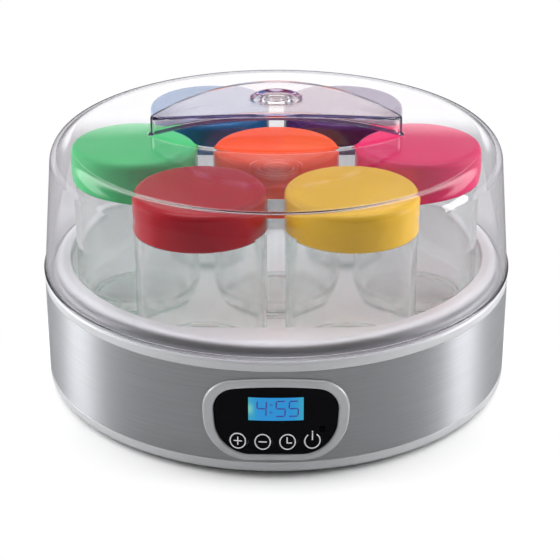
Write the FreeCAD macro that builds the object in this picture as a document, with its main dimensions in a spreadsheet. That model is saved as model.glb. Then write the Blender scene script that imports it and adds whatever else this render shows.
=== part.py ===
import FreeCAD, Part
import os
import re

import Sketcher

# A round yogurt maker: a banded base with a heated tray, seven glass jars with caps,
# and a clear cover with an arched grip.
# Lengths are millimetres and +Z is up. The origin is on the table, under the middle of the base.
# The control panel faces -Y.

# Driving sizes: name, value and meaning, one row of the sheet each.
DRIVING = (
    ("fit_gap", 0.3, "clearance between neighbouring pieces"),
    ("jar_radius", 31.7, "jar body"),
    ("jar_wall", 2.5, "jar body"),
    ("jar_base", 4.5, "glass under the yogurt"),
    ("jar_height", 83.2, "jar with its neck"),
    ("jar_gap", 8.0, "between neighbouring caps"),
    ("jar_margin", 1.2, "outer caps to the tray's wall"),
    ("jar_foot_radius", 25.5, "stepped foot of the jar"),
    ("jar_foot_height", 3.5, "stepped foot of the jar"),
    ("jar_foot_width", 3.0, "ring that the jar stands on"),
    ("jar_punt", 1.2, "hollow under the jar"),
    ("jar_heel_rise", 10.0, "curved heel of the jar"),
    ("jar_heel_step", 4.0, "foot to the middle of the curved heel"),
    ("jar_heel_inset", 2.2, "middle of the curved heel"),
    ("jar_heel_round", 11.0, "rounding of the heel"),
    ("neck_step", 2.1, "jar's outside to its neck"),
    ("neck_wall", 2.4, "neck under the cap"),
    ("neck_height", 17.2, "neck under the cap"),
    ("neck_slope", 2.0, "slope from body to neck"),
    ("cap_lap", 0.3, "cap outside the jar"),
    ("cap_wall", 1.6, "skirt of the cap"),
    ("cap_plate", 1.8, "top of the cap"),
    ("cap_height", 18.2, "cap"),
    ("cap_edge", 3.5, "rounding of the cap"),
    ("plug_depth", 4.2, "sealing ring inside the cap"),
    ("tray_ledge", 0.8, "tray rim seen inside the opening"),
    ("tray_wall", 1.3, "sheet of the heating tray"),
    ("shoulder_width", 9.5, "tray opening to the shoulder's outside"),
    ("shoulder_rise", 7.3, "shoulder above the rim"),
    ("shoulder_edge", 6.0, "rounding of the shoulder"),
    ("opening_blend", 30.0, "rounding where the opening's flat front begins"),
    ("opening_edge", 0.8, "rounding of the opening's upper edge"),
    ("rim_width", 4.5, "shoulder to the outside of the band"),
    ("rim_height", 5.0, "rim above the band"),
    ("rim_edge", 1.4, "rounding of the rim"),
    ("band_wall", 0.8, "sheet of the steel band"),
    ("band_height", 48.0, "steel band"),
    ("ring_height", 6.0, "foot ring below the band"),
    ("ring_edge", 3.0, "rounding under the foot ring"),
    ("housing_wall", 2.5, "walls of both housings"),
    ("floor_thickness", 2.5, "floor of the lower housing"),
    ("skirt_depth", 3.0, "upper housing's skirt inside the wall"),
    ("tub_clearance", 2.7, "top of the tub's wall to the tray's underside"),
    ("lap_height", 2.0, "lip of the tub inside the wall ring"),
    ("vent_count", 16, "vents in the floor"),
    ("vent_circle", 36.0, "middle to the vents"),
    ("vent_length", 14.0, "vents in the floor"),
    ("vent_width", 2.6, "vents in the floor"),
    ("foot_height", 2.0, "rubber foot below the base"),
    ("foot_radius", 7.0, "rubber foot"),
    ("foot_inset", 22.0, "outside of the base to the middle of a foot"),
    ("foot_count", 4, "rubber feet"),
    ("spigot_radius", 3.0, "foot's spigot in the floor"),
    ("spigot_head", 1.0, "foot's spigot above the floor"),
    ("cover_wall", 2.5, "clear cover"),
    ("cover_headroom", 4.0, "caps to the cover"),
    ("cover_step", 0.5, "cover inside the band's outside"),
    ("cover_draft", 5.7, "cover's narrowing to its top"),
    ("cover_corner", 11.0, "rounding of the cover's top"),
    ("flange_lap", 0.3, "cover's flange outside the band"),
    ("flange_height", 1.6, "cover's flange"),
    ("seat_width", 1.2, "land that the cover stands on"),
    ("seat_relief", 0.7, "shadow gap under the flange"),
    ("grip_length", 131.0, "grip from end to end"),
    ("grip_width", 54.0, "grip across the middle"),
    ("grip_end_height", 8.5, "grip above the cover at its ends"),
    ("grip_arch", 11.0, "rise of the grip's arched top"),
    ("grip_edge", 2.6, "rounding along the grip's top"),
    ("grip_inner_edge", 1.1, "rounding inside the hollow grip"),
    ("grip_end_round", 6.0, "rounding of the grip's ends"),
    ("dimple_radius", 13.3, "round dimple in the grip"),
    ("dimple_depth", 1.5, "round dimple in the grip"),
    ("dimple_rim", 0.5, "step down at the dimple's edge"),
    ("dimple_slope", 2.0, "width of the dimple's slopes"),
    ("dimple_ring", 6.2, "middle of the raised ring in the dimple"),
    ("dimple_ring_width", 1.6, "raised ring in the dimple"),
    ("dimple_ring_rise", 1.1, "raised ring in the dimple"),
    ("bezel_half_width", 34.8, "control bezel, middle to side"),
    ("bezel_rise", 1.4, "band's lower edge to the bezel"),
    ("bezel_height", 43.5, "control bezel"),
    ("bezel_crown_radius", 125.0, "bow of the bezel's upper edge"),
    ("bezel_taper", 2.0, "bezel's narrowing to its lower edge"),
    ("bezel_top_corner", 14.0, "bezel's upper corners"),
    ("bezel_low_corner", 21.0, "bezel's lower corners"),
    ("bezel_side_face", 5.2, "width of the bezel's face at the sides"),
    ("bezel_low_face", 3.9, "width of the bezel's face below"),
    ("bezel_top_face", 4.8, "width of the bezel's face above"),
    ("bezel_lip", 2.5, "bezel's overlap on the band"),
    ("bezel_proud", 1.6, "bezel's face outside the band"),
    ("bezel_edge", 1.0, "rounding of the bezel's face"),
    ("bezel_depth", 1.1, "bezel's collar inside the band"),
    ("panel_recess", 0.9, "panel below the bezel's face"),
    ("panel_wall", 2.2, "control panel"),
    ("display_width", 25.8, "display window"),
    ("display_height", 12.0, "display window"),
    ("display_rise", 21.5, "bezel's lower edge to the display"),
    ("display_border", 3.5, "display module around its window"),
    ("button_radius", 4.4, "button"),
    ("button_pitch", 11.7, "button to button"),
    ("button_rise", 10.1, "bezel's lower edge to the row of buttons"),
    ("button_flange", 0.9, "button's flange behind the panel"),
    ("button_flange_wall", 0.8, "button's flange"),
    ("button_travel", 0.5, "press of a button"),
    ("indicator_radius", 1.6, "indicator lens"),
    ("indicator_offset", 4.2, "last button to the indicator lens"),
    ("indicator_rise", 6.0, "row of buttons to the indicator lens"),
    ("board_wall", 1.6, "circuit boards"),
    ("board_setback", 10.2, "panel's face to the control board"),
    ("control_board_width", 52.0, "control board"),
    ("control_board_height", 35.0, "control board"),
    ("control_board_rise", 3.1, "bezel's lower edge to the control board"),
    ("switch_side", 6.0, "tact switch"),
    ("switch_nub_radius", 1.7, "tact switch's plunger"),
    ("switch_nub", 0.5, "tact switch's plunger"),
    ("buzzer_radius", 6.0, "buzzer"),
    ("buzzer_depth", 5.0, "buzzer"),
    ("buzzer_side", 16.0, "middle to the buzzer"),
    ("chip_side", 10.0, "microcontroller"),
    ("chip_wall", 1.6, "microcontroller"),
    ("power_board_width", 70.0, "power board"),
    ("power_board_depth", 38.0, "power board"),
    ("board_clearance", 16.4, "power board to the rear wall"),
    ("board_stand", 7.5, "floor to the power board"),
    ("board_post_radius", 3.0, "posts under the power board"),
    ("board_post_inset", 5.0, "posts in from the power board's edges"),
    ("board_screw_radius", 1.2, "power board's screws"),
    ("board_screw_head", 2.4, "power board's screw heads"),
    ("board_screw_depth", 6.0, "power board's screws in their posts"),
    ("transformer_width", 28.0, "transformer"),
    ("transformer_depth", 22.0, "transformer"),
    ("transformer_height", 12.0, "transformer"),
    ("relay_width", 10.0, "relay"),
    ("relay_depth", 19.0, "relay"),
    ("relay_height", 11.0, "relay"),
    ("capacitor_radius", 4.0, "capacitor"),
    ("capacitor_height", 11.0, "capacitor"),
    ("terminal_width", 20.0, "terminal block"),
    ("terminal_depth", 8.0, "terminal block"),
    ("terminal_height", 9.0, "terminal block"),
    ("post_circle", 60.0, "circle of the tray's posts"),
    ("post_count", 3, "tray's posts"),
    ("post_radius", 6.0, "tray's posts up to the heat shield"),
    ("pin_radius", 3.5, "tray's posts above the heat shield"),
    ("shield_clearance", 1.4, "transformer to the heat shield"),
    ("shield_gap", 9.1, "heat shield to the tray"),
    ("shield_margin", 28.4, "heat shield to the wall"),
    ("shield_wall", 0.6, "heat shield"),
    ("lead_hole", 7.0, "hole for the leads in the heat shield"),
    ("mat_inner", 12.0, "heater mat's hole"),
    ("mat_margin", 13.2, "heater mat to the tray's wall"),
    ("mat_wall", 1.2, "heater mat"),
    ("cutout_radius", 8.0, "thermal cutout"),
    ("cutout_height", 6.0, "thermal cutout"),
    ("cutout_side", 42.0, "middle to the thermal cutout"),
    ("sensor_radius", 2.5, "temperature sensor"),
    ("sensor_height", 4.0, "temperature sensor"),
    ("sensor_side", 38.0, "middle to the temperature sensor"),
    ("lead_radius", 1.0, "heater lead"),
    ("lead_spacing", 7.0, "heater lead to heater lead"),
    ("lead_bend", 6.0, "bend of the heater leads"),
    ("lead_reach", 22.0, "power board to where the leads rise"),
    ("ribbon_width", 16.0, "ribbon cable"),
    ("ribbon_wall", 0.8, "ribbon cable"),
    ("ribbon_side", 10.0, "middle to the ribbon cable"),
    ("ribbon_start_rise", 2.5, "control board's lower edge to the ribbon"),
    ("ribbon_lift", 2.7, "floor to the ribbon"),
    ("ribbon_reach", 6.0, "ribbon's stubs at both ends"),
    ("screw_count", 4, "housing screws"),
    ("screw_radius", 1.5, "housing screws"),
    ("screw_head_radius", 2.8, "housing screws' heads"),
    ("screw_head", 1.8, "housing screws' heads"),
    ("screw_length", 14.0, "housing screws under the head"),
    ("column_radius", 3.0, "upper housing's screw columns"),
    ("boss_height", 4.3, "bosses under the screw columns"),
    ("boss_wall", 1.4, "bosses around the screws"),
    ("gland_rise", 10.0, "band's lower edge to the cord gland"),
    ("gland_bore", 3.3, "cord gland's bore"),
    ("gland_radius", 5.4, "cord gland in the wall"),
    ("gland_head", 8.0, "cord gland's collar"),
    ("gland_tail", 6.0, "cord gland inside the wall"),
)

# Sizes worked out from the driving ones, from the jars outwards and from the floor upwards.
WORKED_OUT = {
    "cap_radius": "jar_radius + cap_lap",
    "neck_radius": "jar_radius - neck_step",
    "neck_bore": "neck_radius - neck_wall",
    "jar_pitch": "2 * cap_radius + jar_gap",
    "tray_inside": "jar_pitch + cap_radius + jar_margin",
    "tray_outside": "tray_inside + tray_wall",
    "tray_front_inside": "jar_pitch * sin(60) + cap_radius + jar_margin",
    "tray_front_outside": "tray_front_inside + tray_wall",
    "opening_radius": "tray_inside + tray_ledge",
    "opening_front": "tray_front_inside + tray_ledge",
    "shoulder_radius": "opening_radius + shoulder_width",
    "band_radius": "shoulder_radius + rim_width",
    "wall_outside": "band_radius - band_wall - fit_gap",
    "wall_inside": "wall_outside - housing_wall",
    "lap_radius": "wall_inside + housing_wall / 2",
    "skirt_outside": "wall_inside - fit_gap",
    "skirt_inside": "shoulder_radius - housing_wall",
    "foot_circle": "band_radius - foot_inset",
    "column_circle": "tray_outside + fit_gap + column_radius",
    "mat_radius": "tray_inside - mat_margin",
    "shield_radius": "wall_inside - shield_margin",
    "cover_foot": "band_radius - cover_step",
    "cover_crown": "cover_foot - cover_draft",
    "flange_radius": "band_radius + flange_lap",
    "floor_top": "foot_height + floor_thickness",
    "band_bottom": "foot_height + ring_height",
    "band_top": "band_bottom + band_height",
    "ledge": "band_top + rim_height",
    "shoulder_top": "ledge + shoulder_rise",
    "plate_under": "shoulder_top - housing_wall",
    "power_board_level": "floor_top + board_stand",
    "power_board_top": "power_board_level + board_wall",
    "shield_level": "power_board_top + transformer_height + shield_clearance",
    "shield_top": "shield_level + shield_wall",
    "tray_under": "shield_top + shield_gap",
    "tray_floor": "tray_under + tray_wall",
    "tub_top": "tray_under - tub_clearance",
    "mat_under": "tray_under - mat_wall",
    "heel_start": "tray_floor + jar_foot_height",
    "jar_lip": "tray_floor + jar_height",
    "neck_bottom": "jar_lip - neck_height",
    "cap_top": "jar_lip + cap_plate",
    "cap_bottom": "cap_top - cap_height",
    "cover_ceiling": "cap_top + cover_headroom",
    "cover_top": "cover_ceiling + cover_wall",
    "flange_under": "ledge + seat_relief",
    "flange_top": "flange_under + flange_height",
    "grip_peak": "cover_top + grip_end_height + grip_arch",
    "grip_bow": "((grip_length / 2)^2 + (grip_width / 2)^2) / grip_width",
    "grip_arch_radius": "((grip_length / 2)^2 + grip_arch^2) / (2 * grip_arch)",
    "bezel_low": "band_bottom + bezel_rise",
    "bezel_high": "bezel_low + bezel_height",
    "bezel_front": "band_radius + bezel_proud",
    "bezel_back": "band_radius - bezel_depth",
    "outside": "bezel_front + bezel_proud",
    "panel_front": "bezel_front - panel_recess",
    "panel_back": "panel_front - panel_wall",
    "display_low": "bezel_low + display_rise",
    "display_back": "panel_back - fit_gap",
    "button_level": "bezel_low + button_rise",
    "flange_reach": "button_radius + button_flange",
    "flange_side": "1.5 * button_pitch + flange_reach",
    "flange_front": "sqrt(panel_back^2 - flange_side^2) - fit_gap",
    "flange_rear": "flange_front - button_flange_wall",
    "indicator_side": "1.5 * button_pitch + indicator_offset",
    "indicator_level": "button_level + indicator_rise",
    "board_front": "panel_front - board_setback",
    "board_rear": "board_front - board_wall",
    "control_board_low": "bezel_low + control_board_rise",
    "switch_front": "flange_rear - button_travel - switch_nub - fit_gap",
    "power_board_rear": "wall_inside - board_clearance",
    "power_board_front": "power_board_rear - power_board_depth",
    "lead_column": "power_board_front - lead_reach",
    "ribbon_start": "control_board_low + ribbon_start_rise",
    "ribbon_run": "floor_top + ribbon_lift",
    "boss_top": "floor_top + boss_height",
    "screw_seat": "foot_height + screw_head",
    "gland_level": "band_bottom + gland_rise",
    "gland_collar": "bezel_proud - fit_gap",
}

# Seats of the jars: name and angle about the middle; the last one stands in the middle.
OUTER_SEATS = (("right", 0), ("rear_right", 60), ("rear_left", 120),
               ("left", 180), ("front_left", 240), ("front_right", 300))
BUTTONS = (("plus", -1.5), ("minus", -0.5), ("timer", 0.5), ("power", 1.5))

NEAR = 1e-4

doc = FreeCAD.newDocument("YogurtMaker")
sheet = doc.addObject("Spreadsheet::Sheet", "Sizes")
for row, (alias, value, meaning) in enumerate(DRIVING, start=1):
    sheet.set("A%d" % row, alias)
    sheet.set("B%d" % row, str(value))
    sheet.setAlias("B%d" % row, alias)
    sheet.set("C%d" % row, meaning)
doc.recompute()

DRIVING_NAMES = {alias for alias, value, meaning in DRIVING}
pieces = []


def linked(text):
    """Spells an expression out in cells of the sheet."""
    def spell(match):
        word = match.group(0)
        if word in WORKED_OUT:
            return "(" + linked(WORKED_OUT[word]) + ")"
        return "Sizes." + word if word in DRIVING_NAMES else word
    return re.sub(r"[a-z][a-z_]*", spell, text)


def size(text):
    """The present value of an expression."""
    return float(sheet.evalExpression(linked(text)))


def bind(thing, attribute, text):
    """Ties a property to an expression in the sheet's sizes."""
    thing.setExpression(attribute, linked(text))


def keep(thing):
    """Counts an object as a finished piece."""
    pieces.append(thing)
    return thing


# Sketches

def new_sketch(body, role, offset="0"):
    """A sketch on one of the body's own planes, moved along the plane's normal."""
    plane = next(item for item in body.Origin.OriginFeatures if item.Role == role)
    sketch = body.newObject("Sketcher::SketchObject", body.Name + "_sketch")
    sketch.AttachmentSupport = [(plane, "")]
    sketch.MapMode = "FlatFace"
    bind(sketch, "AttachmentOffset.Base.z", offset)
    return sketch


def hold(sketch, kind, edge, point, text):
    """Ties a point of the sketch to its origin along one axis."""
    distance = size(text)
    if abs(distance) < NEAR:
        axis = -2 if kind == "DistanceX" else -1
        sketch.addConstraint(Sketcher.Constraint("PointOnObject", edge, point, axis))
        return
    ends = (-1, 1, edge, point) if distance > 0 else (edge, point, -1, 1)
    held = sketch.addConstraint(Sketcher.Constraint(kind, *ends, abs(distance)))
    bind(sketch, "Constraints[%d]" % held, text if distance > 0 else "-(%s)" % text)


def hold_radius(sketch, edge, text):
    """Ties the radius of a circle or an arc."""
    held = sketch.addConstraint(Sketcher.Constraint("Radius", edge, size(text)))
    bind(sketch, "Constraints[%d]" % held, text)


def arc_between(start, end, radius):
    """The arc to the right of the way from start to end, drawn counter-clockwise."""
    middle = (start + end) / 2
    half = (end - start) / 2
    rise = (radius ** 2 - half.Length ** 2) ** 0.5
    side = FreeCAD.Vector(-half.y, half.x, 0).normalize()
    circle = Part.Circle(middle + side * rise, FreeCAD.Vector(0, 0, 1), radius)
    return Part.ArcOfCircle(circle, circle.parameter(start), circle.parameter(end))


def draw(sketch, corners, bulges=None, hollows=None):
    """A closed outline, counter-clockwise; bulges and hollows give an edge's radius."""
    bulges = bulges or {}
    hollows = hollows or {}
    spots = [FreeCAD.Vector(size(x), size(y), 0) for x, y in corners]
    count = len(spots)
    first = sketch.GeometryCount
    for index, start in enumerate(spots):
        end = spots[(index + 1) % count]
        if index in bulges:
            sketch.addGeometry(arc_between(start, end, size(bulges[index])))
        elif index in hollows:
            sketch.addGeometry(arc_between(end, start, size(hollows[index])))
        else:
            sketch.addGeometry(Part.LineSegment(start, end))
    for index, (x, y) in enumerate(corners):
        before = (index - 1) % count
        own = 2 if index in hollows else 1
        other = 1 if before in hollows else 2
        sketch.addConstraint(Sketcher.Constraint("Coincident", first + before, other, first + index, own))
        hold(sketch, "DistanceX", first + index, own, x)
        hold(sketch, "DistanceY", first + index, own, y)
    for index, radius in list(bulges.items()) + list(hollows.items()):
        hold_radius(sketch, first + index, radius)


def draw_circle(sketch, x, y, radius):
    """A circle about a point of the sketch."""
    centre = FreeCAD.Vector(size(x), size(y), 0)
    edge = sketch.addGeometry(Part.Circle(centre, FreeCAD.Vector(0, 0, 1), size(radius)))
    hold(sketch, "DistanceX", edge, 3, x)
    hold(sketch, "DistanceY", edge, 3, y)
    hold_radius(sketch, edge, radius)


def draw_flat_front(sketch, radius, front):
    """A circle about the middle, cut off by a flat side at -Y."""
    half = "sqrt(%s^2 - %s^2)" % (radius, front)
    right = FreeCAD.Vector(size(half), -size(front), 0)
    left = FreeCAD.Vector(-size(half), -size(front), 0)
    circle = Part.Circle(FreeCAD.Vector(), FreeCAD.Vector(0, 0, 1), size(radius))
    sketch.addGeometry(Part.ArcOfCircle(circle, circle.parameter(right), circle.parameter(left)))
    sketch.addGeometry(Part.LineSegment(left, right))
    sketch.addConstraint(Sketcher.Constraint("Coincident", 0, 3, -1, 1))
    sketch.addConstraint(Sketcher.Constraint("Coincident", 0, 2, 1, 1))
    sketch.addConstraint(Sketcher.Constraint("Coincident", 1, 2, 0, 1))
    sketch.addConstraint(Sketcher.Constraint("Horizontal", 1))
    hold_radius(sketch, 0, radius)
    hold(sketch, "DistanceY", 1, 1, "-(%s)" % front)


# Features

def new_body(label):
    """An empty body whose label names its piece."""
    return doc.addObject("PartDesign::Body", label)


def feature(body, kind, sketch):
    """A feature of a body that uses a sketch."""
    made = body.newObject("PartDesign::" + kind, body.Name + "_" + kind.lower())
    made.Profile = sketch
    return made


def turn(body, corners, kind="Revolution"):
    """Turns an outline of radius and height about Z; a Groove cuts it away."""
    sketch = new_sketch(body, "XZ_Plane")
    draw(sketch, corners)
    turned = feature(body, kind, sketch)
    turned.ReferenceAxis = (sketch, ["V_Axis"])
    turned.Angle = 360
    return turned


def pad(body, sketch, length):
    """Adds the sketch's outline along its normal."""
    added = feature(body, "Pad", sketch)
    bind(added, "Length", length)
    return added


def pocket(body, sketch, length, along=False):
    """Cuts the sketch's outline against its normal, or along it, and checks that it cuts."""
    doc.recompute()
    before = body.Tip.Shape.Volume
    cut = feature(body, "Pocket", sketch)
    cut.Reversed = along
    bind(cut, "Length", length)
    doc.recompute()
    if cut.Shape.Volume > before - NEAR:
        raise RuntimeError(cut.Label + " cuts nothing")
    return cut


def ring_of(body, originals, count):
    """Repeats features of a body evenly about Z."""
    doc.recompute()
    pattern = body.newObject("PartDesign::PolarPattern", body.Name + "_ring")
    pattern.Originals = originals
    axis = next(item for item in body.Origin.OriginFeatures if item.Role == "Z_Axis")
    pattern.Axis = (axis, [""])
    pattern.Angle = 360
    bind(pattern, "Occurrences", count)
    body.Tip = pattern
    doc.recompute()
    return pattern


def round_off(body, radius, picked):
    """Rounds the edges of a body that a test picks."""
    doc.recompute()
    tip = body.Tip
    edges = ["Edge%d" % number for number, edge in enumerate(tip.Shape.Edges, start=1) if picked(edge)]
    if not edges:
        raise RuntimeError(body.Label + " has no such edge")
    rounding = body.newObject("PartDesign::Fillet", body.Name + "_rounding")
    rounding.Base = (tip, edges)
    bind(rounding, "Radius", radius)
    doc.recompute()


def at_ring(radius, height):
    """Picks the circular edges of one radius at one height."""
    wanted_radius = size(radius)
    wanted_height = size(height)

    def picked(edge):
        box = edge.BoundBox
        return (isinstance(edge.Curve, Part.Circle) and abs(edge.Curve.Radius - wanted_radius) < NEAR
                and abs(box.ZMin - wanted_height) < NEAR and abs(box.ZMax - wanted_height) < NEAR)
    return picked


def through(spots, axes):
    """Picks straight edges that pass through points of a plane, given by two axes."""
    first, second = axes
    wanted = [(size(a), size(b)) for a, b in spots]

    def picked(edge):
        if not isinstance(edge.Curve, Part.Line):
            return False
        start, end = (vertex.Point for vertex in edge.Vertexes)
        return any(all(abs(getattr(point, first) - a) + abs(getattr(point, second) - b) < NEAR
                       for point in (start, end)) for a, b in wanted)
    return picked


def box(label, corner, sides):
    """A block by its lowest corner and its sides."""
    made = doc.addObject("Part::Box", label)
    for name, text in zip(("Length", "Width", "Height"), sides):
        bind(made, name, text)
    for name, text in zip("xyz", corner):
        bind(made, "Placement.Base." + name, text)
    return made


def rod(label, foot, radius, height, turned=None):
    """A cylinder by the middle of its foot, upright or turned."""
    made = doc.addObject("Part::Cylinder", label)
    if turned:
        made.Placement.Rotation = turned
    bind(made, "Radius", radius)
    bind(made, "Height", height)
    for name, text in zip("xyz", foot):
        bind(made, "Placement.Base." + name, text)
    return made


def group(label, members):
    """One piece made of separate solids."""
    made = doc.addObject("Part::Compound", label)
    made.Links = members
    return keep(made)


# The shared outline of the control panel

def panel_form(label, side_inset, low_inset, top_inset):
    """A block of the bezel's outline, moved inwards, from inside the wall to beyond the bezel."""
    side = "(bezel_half_width - %s)" % side_inset
    foot = "(%s - bezel_taper)" % side
    bow = "(bezel_crown_radius - %s)" % top_inset
    low = "(bezel_low + %s)" % low_inset
    high = "(bezel_high - %s - %s + sqrt(%s^2 - %s^2))" % (top_inset, bow, bow, side)
    corners = [("-" + foot, low), (foot, low), (side, high), ("-" + side, high)]
    body = new_body(label)
    sketch = new_sketch(body, "XZ_Plane", "tray_outside")
    draw(sketch, corners, {2: bow})
    pad(body, sketch, "outside - tray_outside")
    for radius, inset, pair in (("bezel_low_corner", low_inset, corners[:2]),
                                ("bezel_top_corner", top_inset, corners[2:])):
        round_off(body, "%s - (%s + %s) / 2" % (radius, side_inset, inset), through(pair, "xz"))
    return body


def lip_form(label, gap):
    """A block of the outline of the band's window, with a gap all round."""
    return panel_form(label, *("(bezel_lip + %s)" % gap,) * 3)


def face_form(label, gap):
    """A block of the outline of the bezel's window, with a gap all round."""
    return panel_form(label, *("(bezel_%s_face + %s)" % (side, gap) for side in ("side", "low", "top")))


def combine(body, kind, other):
    """Fuses another body with this one, or cuts it away."""
    doc.recompute()
    combined = body.newObject("PartDesign::Boolean", body.Name + "_" + kind.lower())
    combined.setObjects([other])
    combined.Type = kind
    body.Tip = combined
    doc.recompute()


def trim(body, inner, outer):
    """Leaves what lies between two cylinders about Z."""
    spans = []
    if inner:
        spans.append(("0", inner))
    if outer:
        spans.append((outer, "2 * outside"))
    for near, far in spans:
        turn(body, [(near, "0"), (far, "0"), (far, "cover_top"), (near, "cover_top")], "Groove")
    doc.recompute()


# The base

def make_feet():
    """Four rubber feet with spigots that plug into the floor."""
    body = new_body("rubber_feet")
    pads = []
    for radius, low, high in (("foot_radius", "0", "foot_height"),
                              ("spigot_radius", "foot_height", "floor_top + spigot_head")):
        sketch = new_sketch(body, "XY_Plane", low)
        draw_circle(sketch, "foot_circle", "0", radius)
        pads.append(pad(body, sketch, "%s - (%s)" % (high, low)))
    ring_of(body, pads, "foot_count")
    return keep(body)


def make_lower_housing():
    """The tub: foot ring, floor and low wall, with posts for the tray and the power board."""
    body = new_body("lower_housing")
    turn(body, [("0", "foot_height"), ("band_radius", "foot_height"), ("band_radius", "band_bottom"),
                ("wall_outside", "band_bottom"), ("wall_outside", "tub_top"), ("lap_radius", "tub_top"),
                ("lap_radius", "tub_top + lap_height"), ("wall_inside", "tub_top + lap_height"),
                ("wall_inside", "floor_top"), ("0", "floor_top")])
    round_off(body, "ring_edge", at_ring("band_radius", "foot_height"))
    combine(body, "Cut", lip_form(body.Name + "_window_form", "0"))

    rear_hole(body, "gland_radius + fit_gap")

    vent = new_sketch(body, "XY_Plane", "foot_height")
    draw(vent, [("vent_circle", "-vent_width / 2"), ("vent_circle + vent_length", "-vent_width / 2"),
                ("vent_circle + vent_length", "vent_width / 2"), ("vent_circle", "vent_width / 2")])
    ring_of(body, [pocket(body, vent, "floor_thickness", along=True)], "vent_count")

    posts = []
    for radius, top in (("post_radius", "shield_level"), ("pin_radius", "tray_under")):
        sketch = new_sketch(body, "XY_Plane", "foot_height + floor_thickness / 2")
        draw_circle(sketch, "post_circle", "0", radius)
        posts.append(pad(body, sketch, "%s - foot_height - floor_thickness / 2" % top))
    ring_of(body, posts, "post_count")

    stands = new_sketch(body, "XY_Plane", "foot_height + floor_thickness / 2")
    for x, y in board_post_places():
        draw_circle(stands, x, y, "board_post_radius")
    pad(body, stands, "power_board_level - foot_height - floor_thickness / 2")
    pilots = new_sketch(body, "XY_Plane", "power_board_level")
    for x, y in board_post_places():
        draw_circle(pilots, x, y, "board_screw_radius + fit_gap / 3")
    pocket(body, pilots, "board_screw_depth + fit_gap")

    boss = new_sketch(body, "XY_Plane", "foot_height + floor_thickness / 2")
    draw_circle(boss, "column_circle * cos(45)", "column_circle * sin(45)",
                "screw_radius + fit_gap + boss_wall")
    bosses = [pad(body, boss, "boss_top - foot_height - floor_thickness / 2")]
    ring_of(body, bosses, "screw_count")
    cuts = []
    for radius, depth in (("screw_radius + fit_gap", "boss_top"),
                          ("screw_head_radius + fit_gap", "screw_seat")):
        bore = new_sketch(body, "XY_Plane", "0")
        draw_circle(bore, "column_circle * cos(45)", "column_circle * sin(45)", radius)
        cuts.append(pocket(body, bore, depth, along=True))
    ring_of(body, cuts, "screw_count")
    socket = new_sketch(body, "XY_Plane", "0")
    draw_circle(socket, "foot_circle", "0", "spigot_radius + fit_gap / 3")
    ring_of(body, [pocket(body, socket, "floor_top + spigot_head", along=True)], "foot_count")
    return keep(body)


def make_wall_ring():
    """The upper part of the wall behind the band, lapped over the tub's lip."""
    body = new_body("wall_ring")
    step = "lap_radius + fit_gap"
    step_top = "tub_top + lap_height + fit_gap"
    turn(body, [(step, "tub_top"), ("wall_outside", "tub_top"), ("wall_outside", "band_top"),
                ("wall_inside", "band_top"), ("wall_inside", step_top), (step, step_top)])
    combine(body, "Cut", lip_form(body.Name + "_window_form", "0"))
    return keep(body)


def rear_hole(body, radius):
    """Bores through the rear wall at the cord gland."""
    hole = new_sketch(body, "XZ_Plane", "-outside")
    draw_circle(hole, "0", "gland_level", radius)
    pocket(body, hole, "outside - tray_outside", along=True)


def board_post_places():
    """Where the power board's four posts stand."""
    side = "(power_board_width / 2 - board_post_inset)"
    rows = ("power_board_front + board_post_inset", "power_board_rear - board_post_inset")
    return [(sign + side, row) for row in rows for sign in ("-", "")]


def make_steel_band():
    """The brushed band round the wall, open behind the bezel and at the gland."""
    body = new_body("steel_band")
    inside = "band_radius - band_wall"
    turn(body, [(inside, "band_bottom"), ("band_radius", "band_bottom"),
                ("band_radius", "band_top"), (inside, "band_top")])
    combine(body, "Cut", lip_form(body.Name + "_window_form", "0"))
    rear_hole(body, "gland_radius + fit_gap")
    return keep(body)


def make_upper_housing():
    """Rim and shoulder in one moulding, with the tray's opening and the screw columns."""
    body = new_body("upper_housing")
    turn(body, [("0", "plate_under"), ("skirt_inside", "plate_under"),
                ("skirt_inside", "band_top - skirt_depth"), ("skirt_outside", "band_top - skirt_depth"),
                ("skirt_outside", "band_top"), ("band_radius", "band_top"), ("band_radius", "ledge"),
                ("shoulder_radius", "ledge"), ("shoulder_radius", "shoulder_top"), ("0", "shoulder_top")])
    round_off(body, "shoulder_edge", at_ring("shoulder_radius", "shoulder_top"))
    round_off(body, "rim_edge", at_ring("band_radius", "ledge"))

    columns = new_sketch(body, "XY_Plane", "boss_top")
    draw_circle(columns, "column_circle * cos(45)", "column_circle * sin(45)", "column_radius")
    ring_of(body, [pad(body, columns, "plate_under + housing_wall / 2 - boss_top")], "screw_count")
    pilot = new_sketch(body, "XY_Plane", "boss_top")
    draw_circle(pilot, "column_circle * cos(45)", "column_circle * sin(45)", "screw_radius + fit_gap / 3")
    ring_of(body, [pocket(body, pilot, "screw_length", along=True)], "screw_count")

    opening = new_sketch(body, "XY_Plane", "shoulder_top")
    draw_flat_front(opening, "opening_radius", "opening_front")
    pocket(body, opening, "shoulder_rise")
    round_flat_front(body, "opening_radius", "opening_front", "opening_blend")
    level = size("shoulder_top")
    reach = size("opening_radius") + NEAR
    round_off(body, "opening_edge", lambda edge: inside_at(edge, level, reach))
    return keep(body)


def inside_at(edge, level, reach):
    """Whether an edge lies wholly at one height and within a radius of the middle."""
    spots = [edge.valueAt(edge.FirstParameter), edge.valueAt(edge.LastParameter)]
    return all(abs(spot.z - level) < NEAR and (spot.x ** 2 + spot.y ** 2) ** 0.5 < reach for spot in spots)


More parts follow.
